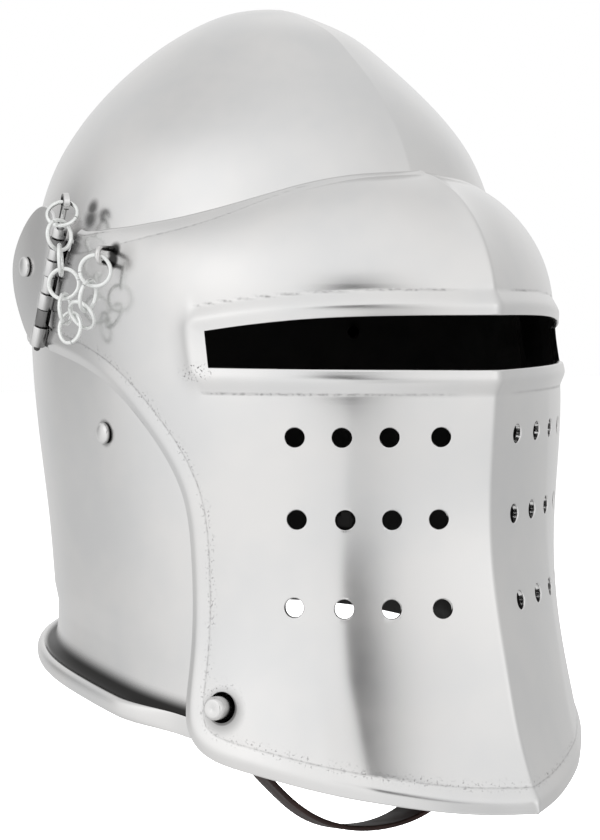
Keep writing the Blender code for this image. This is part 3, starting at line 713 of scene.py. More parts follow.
visorShape = {
    "plate": 2.0, "slotLevel": -112.0,
    "slotHalf": 84.4, "slotTop": (-112.1, -117.8), "slotBottom": (-131.6, -131.1),  # at the keel, at the ends
    "soften": 5.0, "swell": 0.16, "swellSize": 48.0,
    # how far down the rows of the slot frame start and end, each towards the keel and at the hinge
    "frameRows": ((100.5, 94.0), (144.5, 108.0)),
    # height, keel, half width, keel sharpness, cheek fullness
    "stations": (
        (-100.0, -147.0, 100.5, 1.0, 2.95), (-112.0, -148.5, 100.5, 1.0, 3.0),
        (-122.0, -148.9, 100.3, 1.0, 3.05), (-133.0, -148.8, 99.8, 1.0, 3.3),
        (-154.0, -147.3, 98.2, 1.0, 3.6), (-179.0, -145.8, 95.7, 1.0, 3.7),
        (-198.0, -146.7, 94.2, 1.0, 3.65), (-222.0, -151.2, 93.2, 1.0, 3.55),
        (-243.0, -157.0, 94.5, 0.97, 3.55), (-264.0, -163.4, 97.5, 0.94, 3.6),
        (-290.0, -176.4, 98.5, 0.9, 3.6)),
    # keel to hinge: share, top edge (place, height), place at slot level, lower edge (place, height), sway
    "columns": (
        (0.00, -100.3, -57.2, -148.5, -176.0, -288.2, 0.0), (0.10, -95.6, -58.6, -139.5, -162.1, -288.4, 2.0),
        (0.20, -88.6, -61.6, -129.0, -146.2, -286.0, 5.0), (0.30, -79.0, -66.6, -115.5, -129.5, -282.8, 9.0),
        (0.40, -68.0, -71.2, -100.0, -110.0, -278.7, 14.0), (0.46, -61.0, -73.3, -89.0, -98.5, -276.7, 17.0),
        (0.50, -56.0, -74.5, -82.0, -89.9, -274.5, 19.0), (0.54, -50.5, -75.5, -76.0, -82.0, -269.6, 20.0),
        (0.58, -45.0, -76.3, -70.0, -77.2, -261.0, 21.0), (0.63, -38.5, -77.2, -62.0, -75.2, -243.0, 21.0),
        (0.70, -30.5, -77.8, -52.0, -74.6, -206.0, 19.0), (0.78, -23.0, -78.3, -42.0, -71.9, -176.7, 17.0),
        (0.85, -17.0, -78.6, -30.0, -58.0, -156.0, 12.0), (0.92, -12.5, -78.4, -14.0, -31.0, -138.1, 5.0),
        (1.00, -8.0, -77.2, 8.3, 14.3, -127.2, 0.0)),
}
# how the sheet is formed along its edges: distances in from the edge, heights off the plain surface
lowBorder = {"crest": 4.6, "fold": 9.7, "raise": 0.9, "drop": 1.3, "round": 0.55}
# less wide towards the keel
topBorder = {"crest": 2.6, "fold": 9.6, "raise": 0.7, "drop": 0.75, "round": 0.5}
slotFrame = {"crest": 4.3, "fold": 9.1, "height": 2.3, "lip": 0.45}
# the hammer left an upright ridge down each cheek, steep behind it, and faint upright waves further back
cheekRidge = {"height": 0.85, "ahead": 27.0, "behind": 19.0, "round": 0.9,
              # height, distance from the keel, how strong it is
              "path": ((-290.0, 48.4, 1.0), (-258.0, 48.7, 1.0), (-241.0, 50.0, 1.0), (-212.0, 49.0, 1.0),
                       (-194.0, 48.2, 0.8), (-181.0, 47.8, 0.65), (-160.0, 47.2, 0.55), (-146.0, 46.7, 0.42),
                       (-138.0, 46.4, 0.2), (-132.0, 46.4, 0.0))}
cheekWaves = {"step": 9.5, "height": 0.022}
breathHoles = {"width": 7.0, "rows": ((-155.9, (17.8, 34.5, 49.1, 62.6)), (-185.8, (17.7, 32.9, 47.3, 61.2)),
                                      (-217.8, (18.3, 34.4, 48.5, 62.3)))}  # height, distances from the keel

visorCurves = tableCurves(visorShape["stations"])
columnCurves = tableCurves(visorShape["columns"])


def visorPoint(share, z):
    keel, wide, sharp, full = (curve(z) for curve in visorCurves[1:])
    x = wide * np.clip(1 - np.clip(share, 0, 2)**full, 0, 1)**(1 / sharp)
    return np.stack([x, keel * share, z], axis=-1)


def visorY(x, z):
    shares = np.linspace(1.0, 0.0, 400)
    found = visorPoint(shares, np.full(400, z))
    return float(np.interp(x, found[:, 0], found[:, 1]))


def topEdgeCurve():
    # how far out the upper edge stands: it clears the skull by an even gap
    shares = np.linspace(0, 1, 25)
    wide = []
    for u in shares:
        y, z = float(columnCurves[1](u)), float(columnCurves[2](u))
        wide.append(skullX(y + 1.2, z) + 2.8 + 1.0 * float(ramp(-60.0, 0.0, y)) if u > 0 else 0.0)
    return smoothCurve(shares, wide)


def plainVisor(us):
    # the sheet before it is formed: one column for each u, 0 at the keel to 1 at the hinge
    topWide = topEdgeCurve()
    level = visorShape["slotLevel"]
    keelThere = float(visorCurves[1](level))
    above = np.linspace(-1, 0, 241)
    below = np.linspace(0, 1, 461)[1:]
    lowStart = float(columnCurves[4](0) / visorCurves[1](columnCurves[5](0))) - 1
    columns = []
    for u in us:
        topY, topZ, midY, lowY, lowZ, sway = (float(curve(u)) for curve in columnCurves[1:])
        midShare = midY / keelThere
        lowShare = lowY / float(visorCurves[1](lowZ)) - lowStart * max(1 - u / 0.1, 0.0)
        z = level + (lowZ - level) * below
        forward = sway * np.sin(math.pi * below) / -visorCurves[1](z)
        lower = visorPoint(midShare + (lowShare - midShare) * below + forward, z)
        middle = visorPoint(np.array([midShare]), np.array([level]))[0]
        top = np.array((float(topWide(u)), topY, topZ))
        q = 1 + above[:, None]
        upper = top + (middle - top) * np.sin(math.pi / 2 * q)
        drop = 0.2 * q + 0.8 * (1 - np.cos(math.pi / 2 * q))
        upper[:, 2] = top[2] + (middle[2] - top[2]) * drop[:, 0]
        column = np.concatenate([upper, lower])
        run = lengthAlong(column)[-1]
        column = resampled(column, np.linspace(0, run, 601))
        columns.append(softened(column, visorShape["soften"] / run * 600))
    columns = np.array(columns)
    columns[0, :, 0] = 0.0
    return columns


def slotLimits(x):
    t = np.clip(np.abs(x) / visorShape["slotHalf"], 0, 1)
    top, bottom = visorShape["slotTop"], visorShape["slotBottom"]
    return top[0] + (top[1] - top[0]) * t**4, bottom[0] + (bottom[1] - bottom[0]) * t


def pastSlotEnd(x):
    # distance beyond the end of the slot, measured along the sheet
    level = visorPoint(np.linspace(1, 0, 600), np.full(600, -122.0))
    run = lengthAlong(level)
    end = np.interp(visorShape["slotHalf"], level[:, 0], run)
    return np.maximum(np.interp(np.abs(x), level[:, 0], run) - end, 0)


def slotDistance(points):
    top, bottom = slotLimits(points[..., 0])
    high = np.maximum(points[..., 2] - top, bottom - points[..., 2])
    past = pastSlotEnd(points[..., 0])
    outside = np.hypot(np.maximum(high, 0), past)
    return np.where((high < 0) & (past == 0), high, outside), past


def borderHeight(d, border):
    falls = (border["raise"] + border["drop"]) / border["crest"]
    slope = border["raise"] / (border["fold"] - border["crest"])
    height = border["raise"] - falls * softKink(border["crest"] - d, border["round"])
    height -= slope * (softKink(d - border["crest"], border["round"]) - softKink(d - border["fold"], 0.25))
    return height - 0.04 * np.exp(-((d - border["fold"]) / 0.6)**2)


def topWidth(points):
    # how wide the upper border is beside its full width
    return 0.62 + 0.38 * ramp(38.0, 82.0, np.abs(points[..., 0]))


def frameHeight(points):
    d, past = slotDistance(points)
    foot = 0.25 + 1.5 * ramp(0.5, 5.0, past)
    slope = slotFrame["height"] / (slotFrame["fold"] - slotFrame["crest"])
    height = slotFrame["height"] - slope * (softKink(d - slotFrame["crest"], 0.45)
                                            - softKink(d - slotFrame["fold"], foot))
    height -= slotFrame["lip"] * ramp(slotFrame["crest"], -1.0, d)
    groove = 0.05 * np.exp(-((d - slotFrame["fold"] - 0.2) / 0.6)**2) * ramp(4.0, 0.5, past)
    return height - groove * ramp(-60.0, -90.0, points[..., 2])


def cheekHeight(points):
    x, z = np.abs(points[..., 0]), points[..., 2]
    heights, places, strengths = np.array(cheekRidge["path"]).T
    off = x - np.interp(z, heights, places)
    soft = cheekRidge["round"]
    ahead = softKink(off + cheekRidge["ahead"], 5.0) / cheekRidge["ahead"]
    behind = np.clip(1 - np.clip(off, 0, None) / cheekRidge["behind"], 0, 1)**2
    turn = 1 / cheekRidge["ahead"] + 2 / cheekRidge["behind"]
    drop = turn * (softKink(off, soft) - np.clip(off, 0, None))
    ridge = np.where(off < 0, ahead, behind) - drop
    along = (x + 0.03 * z + 1.2 * np.sin(z / 30.0)) / cheekWaves["step"]
    waves = np.sin(2 * math.pi * along) * cheekWaves["height"]
    waves *= ramp(52.0, 60.0, x) * ramp(84.0, 76.0, x) * ramp(-142.0, -165.0, z)
    return ridge * np.interp(z, heights, strengths) * cheekRidge["height"] + waves


def visorGrid():
    dense = np.linspace(0, 1, 401)
    level = visorPoint(columnCurves[3](dense) / float(visorCurves[1](visorShape["slotLevel"])),
                       np.full(401, visorShape["slotLevel"]))
    run = lengthAlong(level)
    slotEnd = np.interp(visorShape["slotHalf"], level[:, 0], run)

    def columnStep(s):
        step = np.interp(s, (0, 2.5, 14, 38, 44, 72, 78), (0.5, 0.6, 2.0, 2.0, 1.1, 1.1, 1.8))
        return np.where(np.abs(s - slotEnd - 4) < 9, np.minimum(step, 0.9), step)

    us = np.interp(spread(0, run[-1], columnStep), run, dense)
    us[0] = 0.0
    columns = plainVisor(us)
    topLine = np.concatenate([columns[:0:-1, 0] * mirror, columns[:, 0]])
    lowLine = np.concatenate([columns[:0:-1, -1] * mirror, columns[:, -1]])
    fromTop = distanceTo(columns, topLine)
    fromLow = distanceTo(columns, lowLine)
    topPlaces = spread(1.0, 13.0, lambda d: np.interp(d, (1, 5, 6, 10.5, 13), (0.6, 0.6, 0.4, 0.4, 1.4)))
    lowPlaces = spread(1.0, 14.0, lambda d: np.interp(
        d, (1, 4, 5, 9, 10.3, 14), (0.7, 0.45, 0.6, 0.4, 0.4, 2.0)))
    rows = []
    for u, column, top, low in zip(us, columns, fromTop, fromLow):
        index = np.arange(len(column))
        startTop = np.interp(topPlaces, top[:150], index[:150])
        endLow = np.interp(lowPlaces, low[::-1][:200], index[::-1][:200])
        squeeze = float(ramp(0.70, 0.92, u))
        z = -column[:, 2]
        frameTop, frameLow = (np.interp(keel + (end - keel) * squeeze, z, index)
                              for keel, end in visorShape["frameRows"])
        parts = [startTop, np.linspace(startTop[-1], frameTop, 14)[1:],
                 np.linspace(frameTop, frameLow, 56)[1:],
                 np.linspace(frameLow, endLow[-1], 50)[1:], endLow[::-1][1:]]
        places = np.concatenate(parts)
        rows.append(np.stack([np.interp(places, index, column[:, k]) for k in range(3)], axis=1))
    half = np.array(rows).transpose(1, 0, 2)
    grid = np.concatenate([half[:, :0:-1] * mirror, half], axis=1)
    middle = half.shape[1] - 1
    for _ in range(6):  # the keel is dressed over a stake, so it is rounded a little
        near = grid[:, middle - 4:middle + 5].copy()
        grid[:, middle - 3:middle + 4] = (near[:, :-2] + 2 * near[:, 1:-1] + near[:, 2:]) / 4
    return grid, distanceTo(grid, topLine), distanceTo(grid, lowLine), middle


def visorPiece():
    grid, fromTop, fromLow, middle = visorGrid()
    normal = gridNormals(grid)
    if normal[len(grid) // 2, middle, 1] > 0:
        normal = -normal
    normal[:, middle, 0] = 0
    normal /= np.linalg.norm(normal, axis=2, keepdims=True)
    fromTop = fromTop / topWidth(grid)
    height = borderHeight(fromTop, topBorder) + borderHeight(fromLow, lowBorder) + frameHeight(grid)
    height += ripple(grid, visorShape["swellSize"], 2) * visorShape["swell"] + cheekHeight(grid)
    outer = grid + normal * height[:, :, None]
    facing = gridNormals(outer)
    facing *= np.sign((facing * normal).sum(axis=2, keepdims=True))
    inner = outer - facing * visorShape["plate"]
    rows, columns = outer.shape[:2]

    def cap(outerRow, innerRow, beyond):
        # half-round edge between the two faces
        centre = (outerRow + innerRow) / 2
        arm = (outerRow - innerRow) / 2
        away = beyond / np.linalg.norm(beyond, axis=1, keepdims=True)
        reach = np.linalg.norm(arm, axis=1, keepdims=True)
        return [centre + arm * math.cos(a) + away * reach * math.sin(a)
                for a in np.linspace(0, math.pi, 12)[1:-1]]

    ring = list(outer) + cap(outer[-1], inner[-1], outer[-1] - outer[-2])
    ring += list(inner[::-1]) + cap(inner[0], outer[0], outer[0] - outer[1])
    ring = np.array(ring)
    count = len(ring)
    points = ring.reshape(-1, 3)
    faces, looks = [], []
    for r in range(count):
        a = r * columns
        b = (r + 1) % count * columns
        # faces on the inside get the near-black painted shade of the inside
        dark = int(rows + 6 <= r < 2 * rows + 9)
        for c in range(columns - 1):
            faces.append((a + c, a + c + 1, b + c + 1, b + c))
            looks.append(dark)
    caps = count - 2 * rows
    half = caps // 2
    for c in (0, columns - 1):
        loop = [r * columns + c for r in range(count)]
        outerSide = loop[:rows]
        innerSide = loop[rows + half:2 * rows + half][::-1]
        for r in range(rows - 1):
            quad = (outerSide[r], outerSide[r + 1], innerSide[r + 1], innerSide[r])
            faces.append(quad if c else quad[::-1])
            looks.append(0)
        low = tuple(loop[rows - 1:rows + half + 1])
        high = tuple(loop[2 * rows + half - 1:]) + (loop[0],)
        faces += [low if c else low[::-1], high if c else high[::-1]]
        looks += [0, 0]
    centre = pegLine()[0]
    # painted shade round the peg's hole
    darkSpots = [(centre + (0.8, -0.4, -1.4), peg["hole"] - 1.0, peg["hole"] + 4.6, 0.42),
              (centre + (0.3, -0.2, -0.5), peg["hole"], peg["hole"] + 1.2, 0.75)]
    for side in (right, left):
        x, y, z = stapleShape["place"]
        root = np.array((x + 2.0, y - 2.2, z)) * np.array((-side, 1, 1))
        # painted shade where the staple enters the sheet, and a faint painted shadow beside it
        darkSpots += [(root + (0, 0.4, turn), 2.0, 4.6, 0.95) for turn in (-2.0, 1.8)]
        darkSpots += [(root + (0, -6.0, -1.0), 1.0, 10.0, 0.22)]
    steel = satinSteel("satinPolishedVisorSteel", darkSpots=darkSpots)
    piece = newPiece("visorSheet", points, faces, [steel, insideShadeSteel], looks)
    print("visor sheet before cutting:", len(faces), "faces")
    surface = BVHTree.FromPolygons([v.co for v in piece.data.vertices],
                                   [p.vertices for p in piece.data.polygons])
    cutVisor(piece, surface)
    markVisor(piece, outer, grid, fromTop, fromLow)
    placed(piece, "visor", "steel", "visor_plate")
    return surface


def markVisor(piece, outer, grid, fromTop, fromLow):
    # where scale and polish stay in the creases, and painted shade on the wall of the peg's hole
    tree = nearestTree(outer.reshape(-1, 3))
    near = [tree.find(p)[1:] for p in vertexPlaces(piece)]
    index = np.array([n[0] for n in near])
    onFace = np.array([n[1] for n in near]) < 1.2
    plain = grid.reshape(-1, 3)[index]
    top = fromTop.reshape(-1)[index] / topWidth(plain)
    low = fromLow.reshape(-1)[index]
    slot, past = slotDistance(plain)
    lowFold = 0.5 * np.exp(-((low - lowBorder["fold"]) / 0.3)**2)
    topFold = 0.4 * np.exp(-((top - topBorder["fold"]) / 0.3)**2) * ramp(25.0, 50.0, np.abs(plain[:, 0]))
    slotFold = 0.6 * np.exp(-((slot - slotFrame["fold"] - 0.2) / 0.3)**2) * ramp(3.0, 0.0, past)
    slotFold *= ramp(8.0, 20.0, np.abs(plain[:, 0])) * ramp(-60.0, -90.0, plain[:, 2])
    markVertices(piece, "fold", np.maximum(np.maximum(lowFold, topFold), slotFold) * onFace)
    centre, axis = pegLine()
    fromPeg = plain - centre
    fromPeg = np.linalg.norm(fromPeg - (fromPeg @ axis)[:, None] * axis, axis=1)
    corner = np.hypot(np.abs(plain[:, 0]) - visorShape["slotHalf"] - 1.5, plain[:, 2] + 133.0)
    pitted = np.maximum(0.7 * ramp(11.0, 6.0, fromPeg), 0.9 * ramp(4.5, 2.0, corner))
    pitted = np.maximum(pitted, 0.5 * ramp(3.0, 0.5, np.abs(low - lowBorder["fold"] - 0.5)))
    markVertices(piece, "pitted", pitted * onFace)
    blackenBore(piece, centre, axis, peg["hole"] + 0.06)


def blackenBore(piece, centre, axis, radius):
    # painted shade: the wall of a hole gets the near-black of the inside
    for face in piece.data.polygons:
        away = np.array(face.center) / mm - centre
        away -= (away @ axis) * axis
        if np.linalg.norm(away) < radius and abs(np.array(face.normal) @ axis) < 0.5:
            face.material_index = 1


def slotCutter(surface):
    # the opening flares a little where its edge was filed
    half = visorShape["slotHalf"]
    xs = half * np.sin(np.linspace(-math.pi / 2, math.pi / 2, 71))
    top = [(x, float(slotLimits(x)[0])) for x in xs]
    bottom = [(x, float(slotLimits(x)[1])) for x in xs[::-1]]
    outline = np.array(top + bottom)
    count = len(outline)
    ahead = np.roll(outline, -1, axis=0) - np.roll(outline, 1, axis=0)
    away = np.stack([-ahead[:, 1], ahead[:, 0]], axis=1)
    away /= np.linalg.norm(away, axis=1, keepdims=True)
    away *= np.sign(((outline - outline.mean(axis=0)) * away).sum(axis=1, keepdims=True))
    points = []
    for depth, wider in ((-60.0, 0.0), (-0.5, 0.0), (-0.12, 0.16), (0.25, 0.6), (60.0, 0.6)):
        for (x, z), (dx, dz) in zip(outline, away):
            hit = surface.ray_cast(Vector((x * 0.999, -300.0, z)) * mm, Vector((0, 1, 0)))[0]
            y = hit.y / mm if hit else -100.0
            points.append((x + dx * wider, y - depth, z + dz * wider))
    faces = [tuple(range(count)), tuple(range(5 * count - 1, 4 * count - 1, -1))]
    for r in range(4):
        for k in range(count):
            m = (k + 1) % count
            faces.append((r * count + k, (r + 1) * count + k, (r + 1) * count + m, r * count + m))
    return newPiece("slotCutter", points, faces, None)


def holeCutters(surface):
    # each breath hole is drilled square to the sheet, and its edge is broken with a countersink
    radius = breathHoles["width"] / 2
    profile = ((-9, radius), (-0.6, radius), (-0.3, radius + 0.08), (-0.08, radius + 0.26),
               (0.2, radius + 0.75), (6, radius + 0.75))
    cutters = []
    for z, places in breathHoles["rows"]:
        for x in places:
            y = visorY(x, z)
            out = unit(((visorY(x + 1, z) - visorY(x - 1, z)) / 2, -1.0, 0.0))
            for side in (right, left):
                flip = np.array((side, 1, 1))
                start = (np.array((x, y, z)) + out * 30) * flip
                hit, facing, _, _ = surface.ray_cast(Vector(start) * mm, -Vector(out * flip))
                cutters.append(turned("hole", np.array(hit) / mm, np.array(facing), profile, None, 40))
    return cutters


def joined(cutters):
    # several separate closed shapes as one
    bm = bmesh.new()
    for cutter in cutters:
        bm.from_mesh(cutter.data)
        bpy.data.objects.remove(cutter, do_unlink=True)
    mesh = bpy.data.meshes.new("cutters")
    bm.to_mesh(mesh)
    bm.free()
    together = bpy.data.objects.new("cutters", mesh)
    bpy.context.scene.collection.objects.link(together)
    return together


def cutVisor(piece, surface):
    cutters = holeCutters(surface)
    centre, axis = pegLine()
    cutters.append(turned("hole", centre - axis * 8, axis, ((0, peg["hole"]), (16, peg["hole"])), None, 64))
    cutters.append(slotCutter(surface))
    boolean(piece, joined(cutters))
    reliefs, gaps = [], []
    for side in (right, left):
        low = hingePoint(1, side) - hingePoint(0, side)
        length = np.linalg.norm(low)
        wide = hinge["wide"] + 0.5
        start = hingePoint(0, side) - low * 0.15
        reliefs.append(turned("relief", start, low, ((0, wide), (length * 1.2, wide)), None))
        for k in (0, 2, 4, 6):
            above = 0.12 if k == 0 else 0.0
            high, foot = hinge["joints"][k] - above, hinge["joints"][k + 1]
            gaps.append(tongue(side, high, foot, -hinge["slot"], 90.0, 105.0))
    boolean(piece, joined(reliefs))
    boolean(piece, joined(gaps))
    smoothShaded(piece, 30, True)
    print("visor sheet after cutting:", len(piece.data.polygons), "faces")


# hinges

def tongue(side, low, high, reach, inside, outside, look=None):
    a = hingePoint(low, side)[1:]
    b = hingePoint(high, side)[1:]
    square = np.array((a[1] - b[1], b[0] - a[0]))
    square *= reach / np.linalg.norm(square)
    return prism("tongue", [tuple(a), tuple(b), tuple(b + square), tuple(a + square)],
                 side * inside, side * outside, look)


def knuckle(side, low, high, radius, look):
    start = hingePoint(low, side)
    finish = hingePoint(high, side)
    length = np.linalg.norm(finish - start)
    ends = ((0.22, radius - 0.4), (0.3, radius - 0.14), (0.55, radius))
    profile = [(0.22, hinge["pin"] + 0.3)] + list(ends) + [(length - a, r) for a, r in ends[::-1]]
    return turned("knuckle", start, finish - start, profile + [(length - 0.22, hinge["pin"] + 0.3)], look, 40)


def bevelled(piece, width, segments=3):
    step = piece.modifiers.new("edges", "BEVEL")
    step.width = width * mm
    step.segments = segments
    step.limit_method = "ANGLE"
    step.angle_limit = math.radians(40)
    applyModifiers(piece)
    return piece


def boreOut(piece, side):
    low = hingePoint(0, side)
    line = hingePoint(1, side) - low
    radius = hinge["pin"] + 0.3
    length = np.linalg.norm(line) * 1.4
    boolean(piece, turned("bore", low - line * 0.2, line, ((0, radius), (length, radius)), None, 32))


def knuckleStrip(side, low, high, surface):
    # the strip from a barrel down into the sheet, following the sheet where it ends
    a, b = hingePoint(low, 1), hingePoint(high, 1)
    square = np.array((0.0, a[2] - b[2], b[1] - a[1]))
    square /= np.linalg.norm(square)
    reach = hinge["slot"] - 0.5
    points = []
    for place in (a, b):
        end = place - square * reach
        hit = surface.ray_cast(Vector((side * 300.0, end[1], end[2])) * mm, Vector((-side, 0, 0)))[0]
        far = abs(hit.x) / mm - 0.25 if hit else 99.0
        near = min(hinge["x"] - hinge["wide"] + 1.75, far + 1.6)
        points += [(side * (near - 1.9), place[1], place[2]), (side * near, place[1], place[2]),
                   (side * far, end[1], end[2]), (side * (far - 1.4), end[1], end[2])]
    faces = [(0, 1, 2, 3), (7, 6, 5, 4)] + [((k + 1) % 4, k, k + 4, (k + 1) % 4 + 4) for k in range(4)]
    return newPiece("strip", points, faces, turnedSteel)


def markBarrels(piece, side, dark):
    # painted shade on the barrels: one barrel is darker and duller all round, and all are dark where they
    # turn to the sheet
    top, foot = hingePoint(0, side), hingePoint(1, side)
    line = foot - top
    places = vertexPlaces(piece)
    share = (places - top) @ line / (line @ line)
    away = places - top - share[:, None] * line
    close = ramp(4.6, 3.8, np.linalg.norm(away, axis=1))
    back = ramp(0.6, 2.4, away @ np.array((-side * 0.45, -0.89, 0.0)))
    inside = (share > hinge["joints"][dark] - 0.002) & (share < hinge["joints"][dark + 1] + 0.002)
    markVertices(piece, "shadeMark", close * np.maximum(0.72 * inside, 0.6 * back))


def visorKnuckles(side, surface):
    # the wide barrels rolled from the visor's sheet
    piece = None
    for k in (1, 3, 5, 7):
        low, high = hinge["joints"][k], hinge["joints"][k + 1]
        barrel = knuckle(side, low, high, hinge["wide"], turnedSteel)
        strip = knuckleStrip(side, low + 0.006, high - 0.006, surface)
        boolean(barrel, bevelled(strip, 0.25), "UNION")
        if piece:
            boolean(piece, barrel, "UNION")
        else:
            piece = barrel
    boreOut(piece, side)
    piece.name = "visorKnuckles_" + sideWord(side)
    markBarrels(piece, side, 1)
    return placed(smoothShaded(piece, 32), "visor", "steel")


def pivotPlate(side):
    foot = hingePoint(1.0, side)[1:] + np.array((4.2, 0.6))
    top = hingePoint(0.09, side)[1:] + np.array((4.4, 0.8))
    curve = np.array(pivot["outline"])
    run = lengthAlong(curve)
    places = np.linspace(0, run[-1], 48)
    rounded = np.stack([smoothCurve(run, curve[:, k])(places) for k in (0, 1)], axis=1)
    outside = pivot["plateX"] + pivot["thick"]
    outline = [tuple(foot), tuple(top)] + [tuple(p) for p in rounded]
    piece = bevelled(prism("plate", outline, side * pivot["plateX"], side * outside, turnedSteel), 0.45)
    for k in (0, 2, 4, 6):
        low, high = hinge["joints"][k], hinge["joints"][k + 1]
        strip = tongue(side, low + 0.006, high - 0.006, 7.6, pivot["plateX"] + 0.05, outside - 0.05,
                       turnedSteel)
        boolean(piece, strip, "UNION")
        boolean(piece, knuckle(side, low, high, hinge["narrow"], turnedSteel), "UNION")
    boreOut(piece, side)
    piece.name = "pivotPlate_" + sideWord(side)
    markBarrels(piece, side, 6)
    return placed(smoothShaded(piece, 32), "visor", "steel", "pivot_plate_" + sideWord(side))


def headProfile(start, radius, height):
    # a peened head: a steep rounded rim, then a dome
    arc = [(start + height * (0.42 + 0.58 * math.sin(a)), radius * math.cos(a)**0.85)
           for a in np.linspace(0.08, math.pi / 2 * 0.96, 12)]
    return [(start, radius * 0.94), (start + 0.25, radius * 0.985), (start + height * 0.3, radius)] + arc


def rivet(kind, side):
    facts = rivets[kind]
    y, z = facts["place"]
    x = skullX(y, z)
    plate = skullShape["plate"]
    if kind == "pivot":
        out = np.array((1.0, 0.0, 0.0))
        reach = pivot["plateX"] + pivot["thick"] - x + 0.1
        profile = [(-plate - 3.2, 3.4), (-plate - 2.0, 4.2), (-plate - 1.99, 2.5), (reach, 2.5)]
    else:
        out = unit((1.0, -(skullX(y + 2, z) - skullX(y - 2, z)) / 4, 0.0))
        reach = 0.05
        under = -plate - (strap["thick"] + 1.3 if kind == "side" else 1.1)
        profile = [(under - 1.0, 2.4), (under - 0.4, 2.9), (under, 3.0), (under + 0.001, 1.5), (reach, 1.5)]
    profile += headProfile(reach + 0.001, facts["radius"], facts["height"])
    flip = np.array((side, 1, 1))
    centre, out = np.array((x, y, z)) * flip, out * flip
    piece = turned(kind + "Rivet_" + sideWord(side), centre, out, profile, turnedSteel)
    # painted shade on the low wall of the head
    up = (vertexPlaces(piece) - centre) @ out - reach
    top = 0.2 if kind == "pivot" else 0.4
    markVertices(piece, "shadeMark", ramp(facts["height"] * top, facts["height"] * top * 0.4, up))
    return placed(smoothShaded(piece, 40), "skull", "steel", kind + "_rivet_" + sideWord(side))


pinEye = {"up": 11.0, "axis": (0.972, -0.233, 0.0), "outer": 3.4, "inner": 1.9, "thick": 2.8}


def hingePin(side):
    low = hingePoint(1.0, side)
    line = hingePoint(0.0, side) - low
    length = np.linalg.norm(line)
    line = line / length
    radius = hinge["pin"]
    profile = [(-2.3, 0.7), (-2.0, 1.1), (-1.5, radius), (length + pinEye["up"] - 2.4, radius)]
    piece = turned("pin", low, line, profile, turnedSteel, 32)
    centre = low + line * (length + pinEye["up"])
    axis = np.array(pinEye["axis"]) * np.array((-side, 1, 1))
    rim, half = pinEye["outer"], pinEye["thick"] / 2
    flat = [(-half, rim - 0.9), (-half + 0.1, rim - 0.4), (-half + 0.4, rim - 0.05), (half - 0.4, rim),
            (half - 0.1, rim - 0.35), (half, rim - 0.9)]
    boolean(piece, turned("eye", centre, axis, flat, turnedSteel, 20), "UNION")
    hole = pinEye["inner"]
    boolean(piece, turned("hole", centre - axis * 4, axis, ((0, hole), (8, hole)), None, 28))
    piece.name = "hingePin_" + sideWord(side)
    # painted shade on the shank under the eye, and in and beside the eye's hole
    up = (vertexPlaces(piece) - low) @ line - length
    shank = 0.9 * ramp(pinEye["up"] - 3.2, pinEye["up"] - 4.4, up)
    fromEye = vertexPlaces(piece) - centre
    along = fromEye @ axis
    away = np.linalg.norm(fromEye - along[:, None] * axis, axis=1)
    bore = ramp(hole + 1.3, hole + 0.2, away) + 0.5 * ramp(half - 0.3, half - 0.05, np.abs(along))
    markVertices(piece, "shadeMark", np.maximum(shank, np.clip(bore * ramp(rim + 1.0, rim, away), 0, 0.95)))
    return placed(smoothShaded(piece, 28), "visor", "steel", "hinge_pin_" + sideWord(side))


def staple(side):
    x, y, z = stapleShape["place"]
    half, lean = stapleShape["half"], stapleShape["lean"]
    path = [(x + 4.0, y, z + half), (x + 2.0, y, z + half), (x, y, z + half)]
    for angle in np.linspace(math.pi / 2, -math.pi / 2, 25):
        out = stapleShape["out"] - 2.4 + 2.4 * math.cos(angle)
        path.append((x - out, y - lean * out, z + half * math.sin(angle)))
    path += [(x, y, z - half), (x + 2.0, y, z - half), (x + 4.0, y, z - half)]
    path = np.array(path) * np.array((-side, 1, 1))
    across = [(lean * side, 1, 0)] * len(path)
    piece = swept("staple_" + sideWord(side), path, circleSection(stapleShape["radius"]), turnedSteel, across)
    # painted shade on the legs near the sheet
    out = np.abs(vertexPlaces(piece)[:, 0])
    markVertices(piece, "shadeMark", 0.93 * ramp(103.2, 101.4, out))
    return placed(smoothShaded(piece), "visor", "steel", "staple_" + sideWord(side))


chain = {
    "ring": 5.85, "wire": 0.8, "gap": 3.0,  # degrees left open where the ends of the wire meet
    # where each ring is open, degrees round it, from the pin to the staple
    "gapAt": (200, 60, 120, 165, 300, 250, 40, 40, 355),
}


def ringPlace(node):
    # centre of a ring and the way it faces, measured on the CAD ring, which is even all round
    points = vertexPlaces(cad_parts[node])
    centre = points.mean(axis=0)
    facing = np.linalg.svd(points - centre, full_matrices=False)[2][2]
    return centre, -facing if facing[1] > 0 else facing


def chainRing(number, side):
    node = f"chain_ring_{number}_" + sideWord(side)
    centre, facing = ringPlace(node)
    across, up, axis = crossways(facing)
    opening = math.radians(chain["gapAt"][number - 1])
    half = math.radians(chain["gap"]) / 2
    angles = np.linspace(opening + half, opening + 2 * math.pi - half, 73)
    turn = np.cos(angles)[:, None] * across + np.sin(angles)[:, None] * up
    path = centre + chain["ring"] * turn
    name = f"chainRing_{number}_" + sideWord(side)
    piece = swept(name, path, circleSection(chain["wire"]), wire, [axis] * len(path))
    return placed(smoothShaded(piece, 50), "visor", "wire", node)


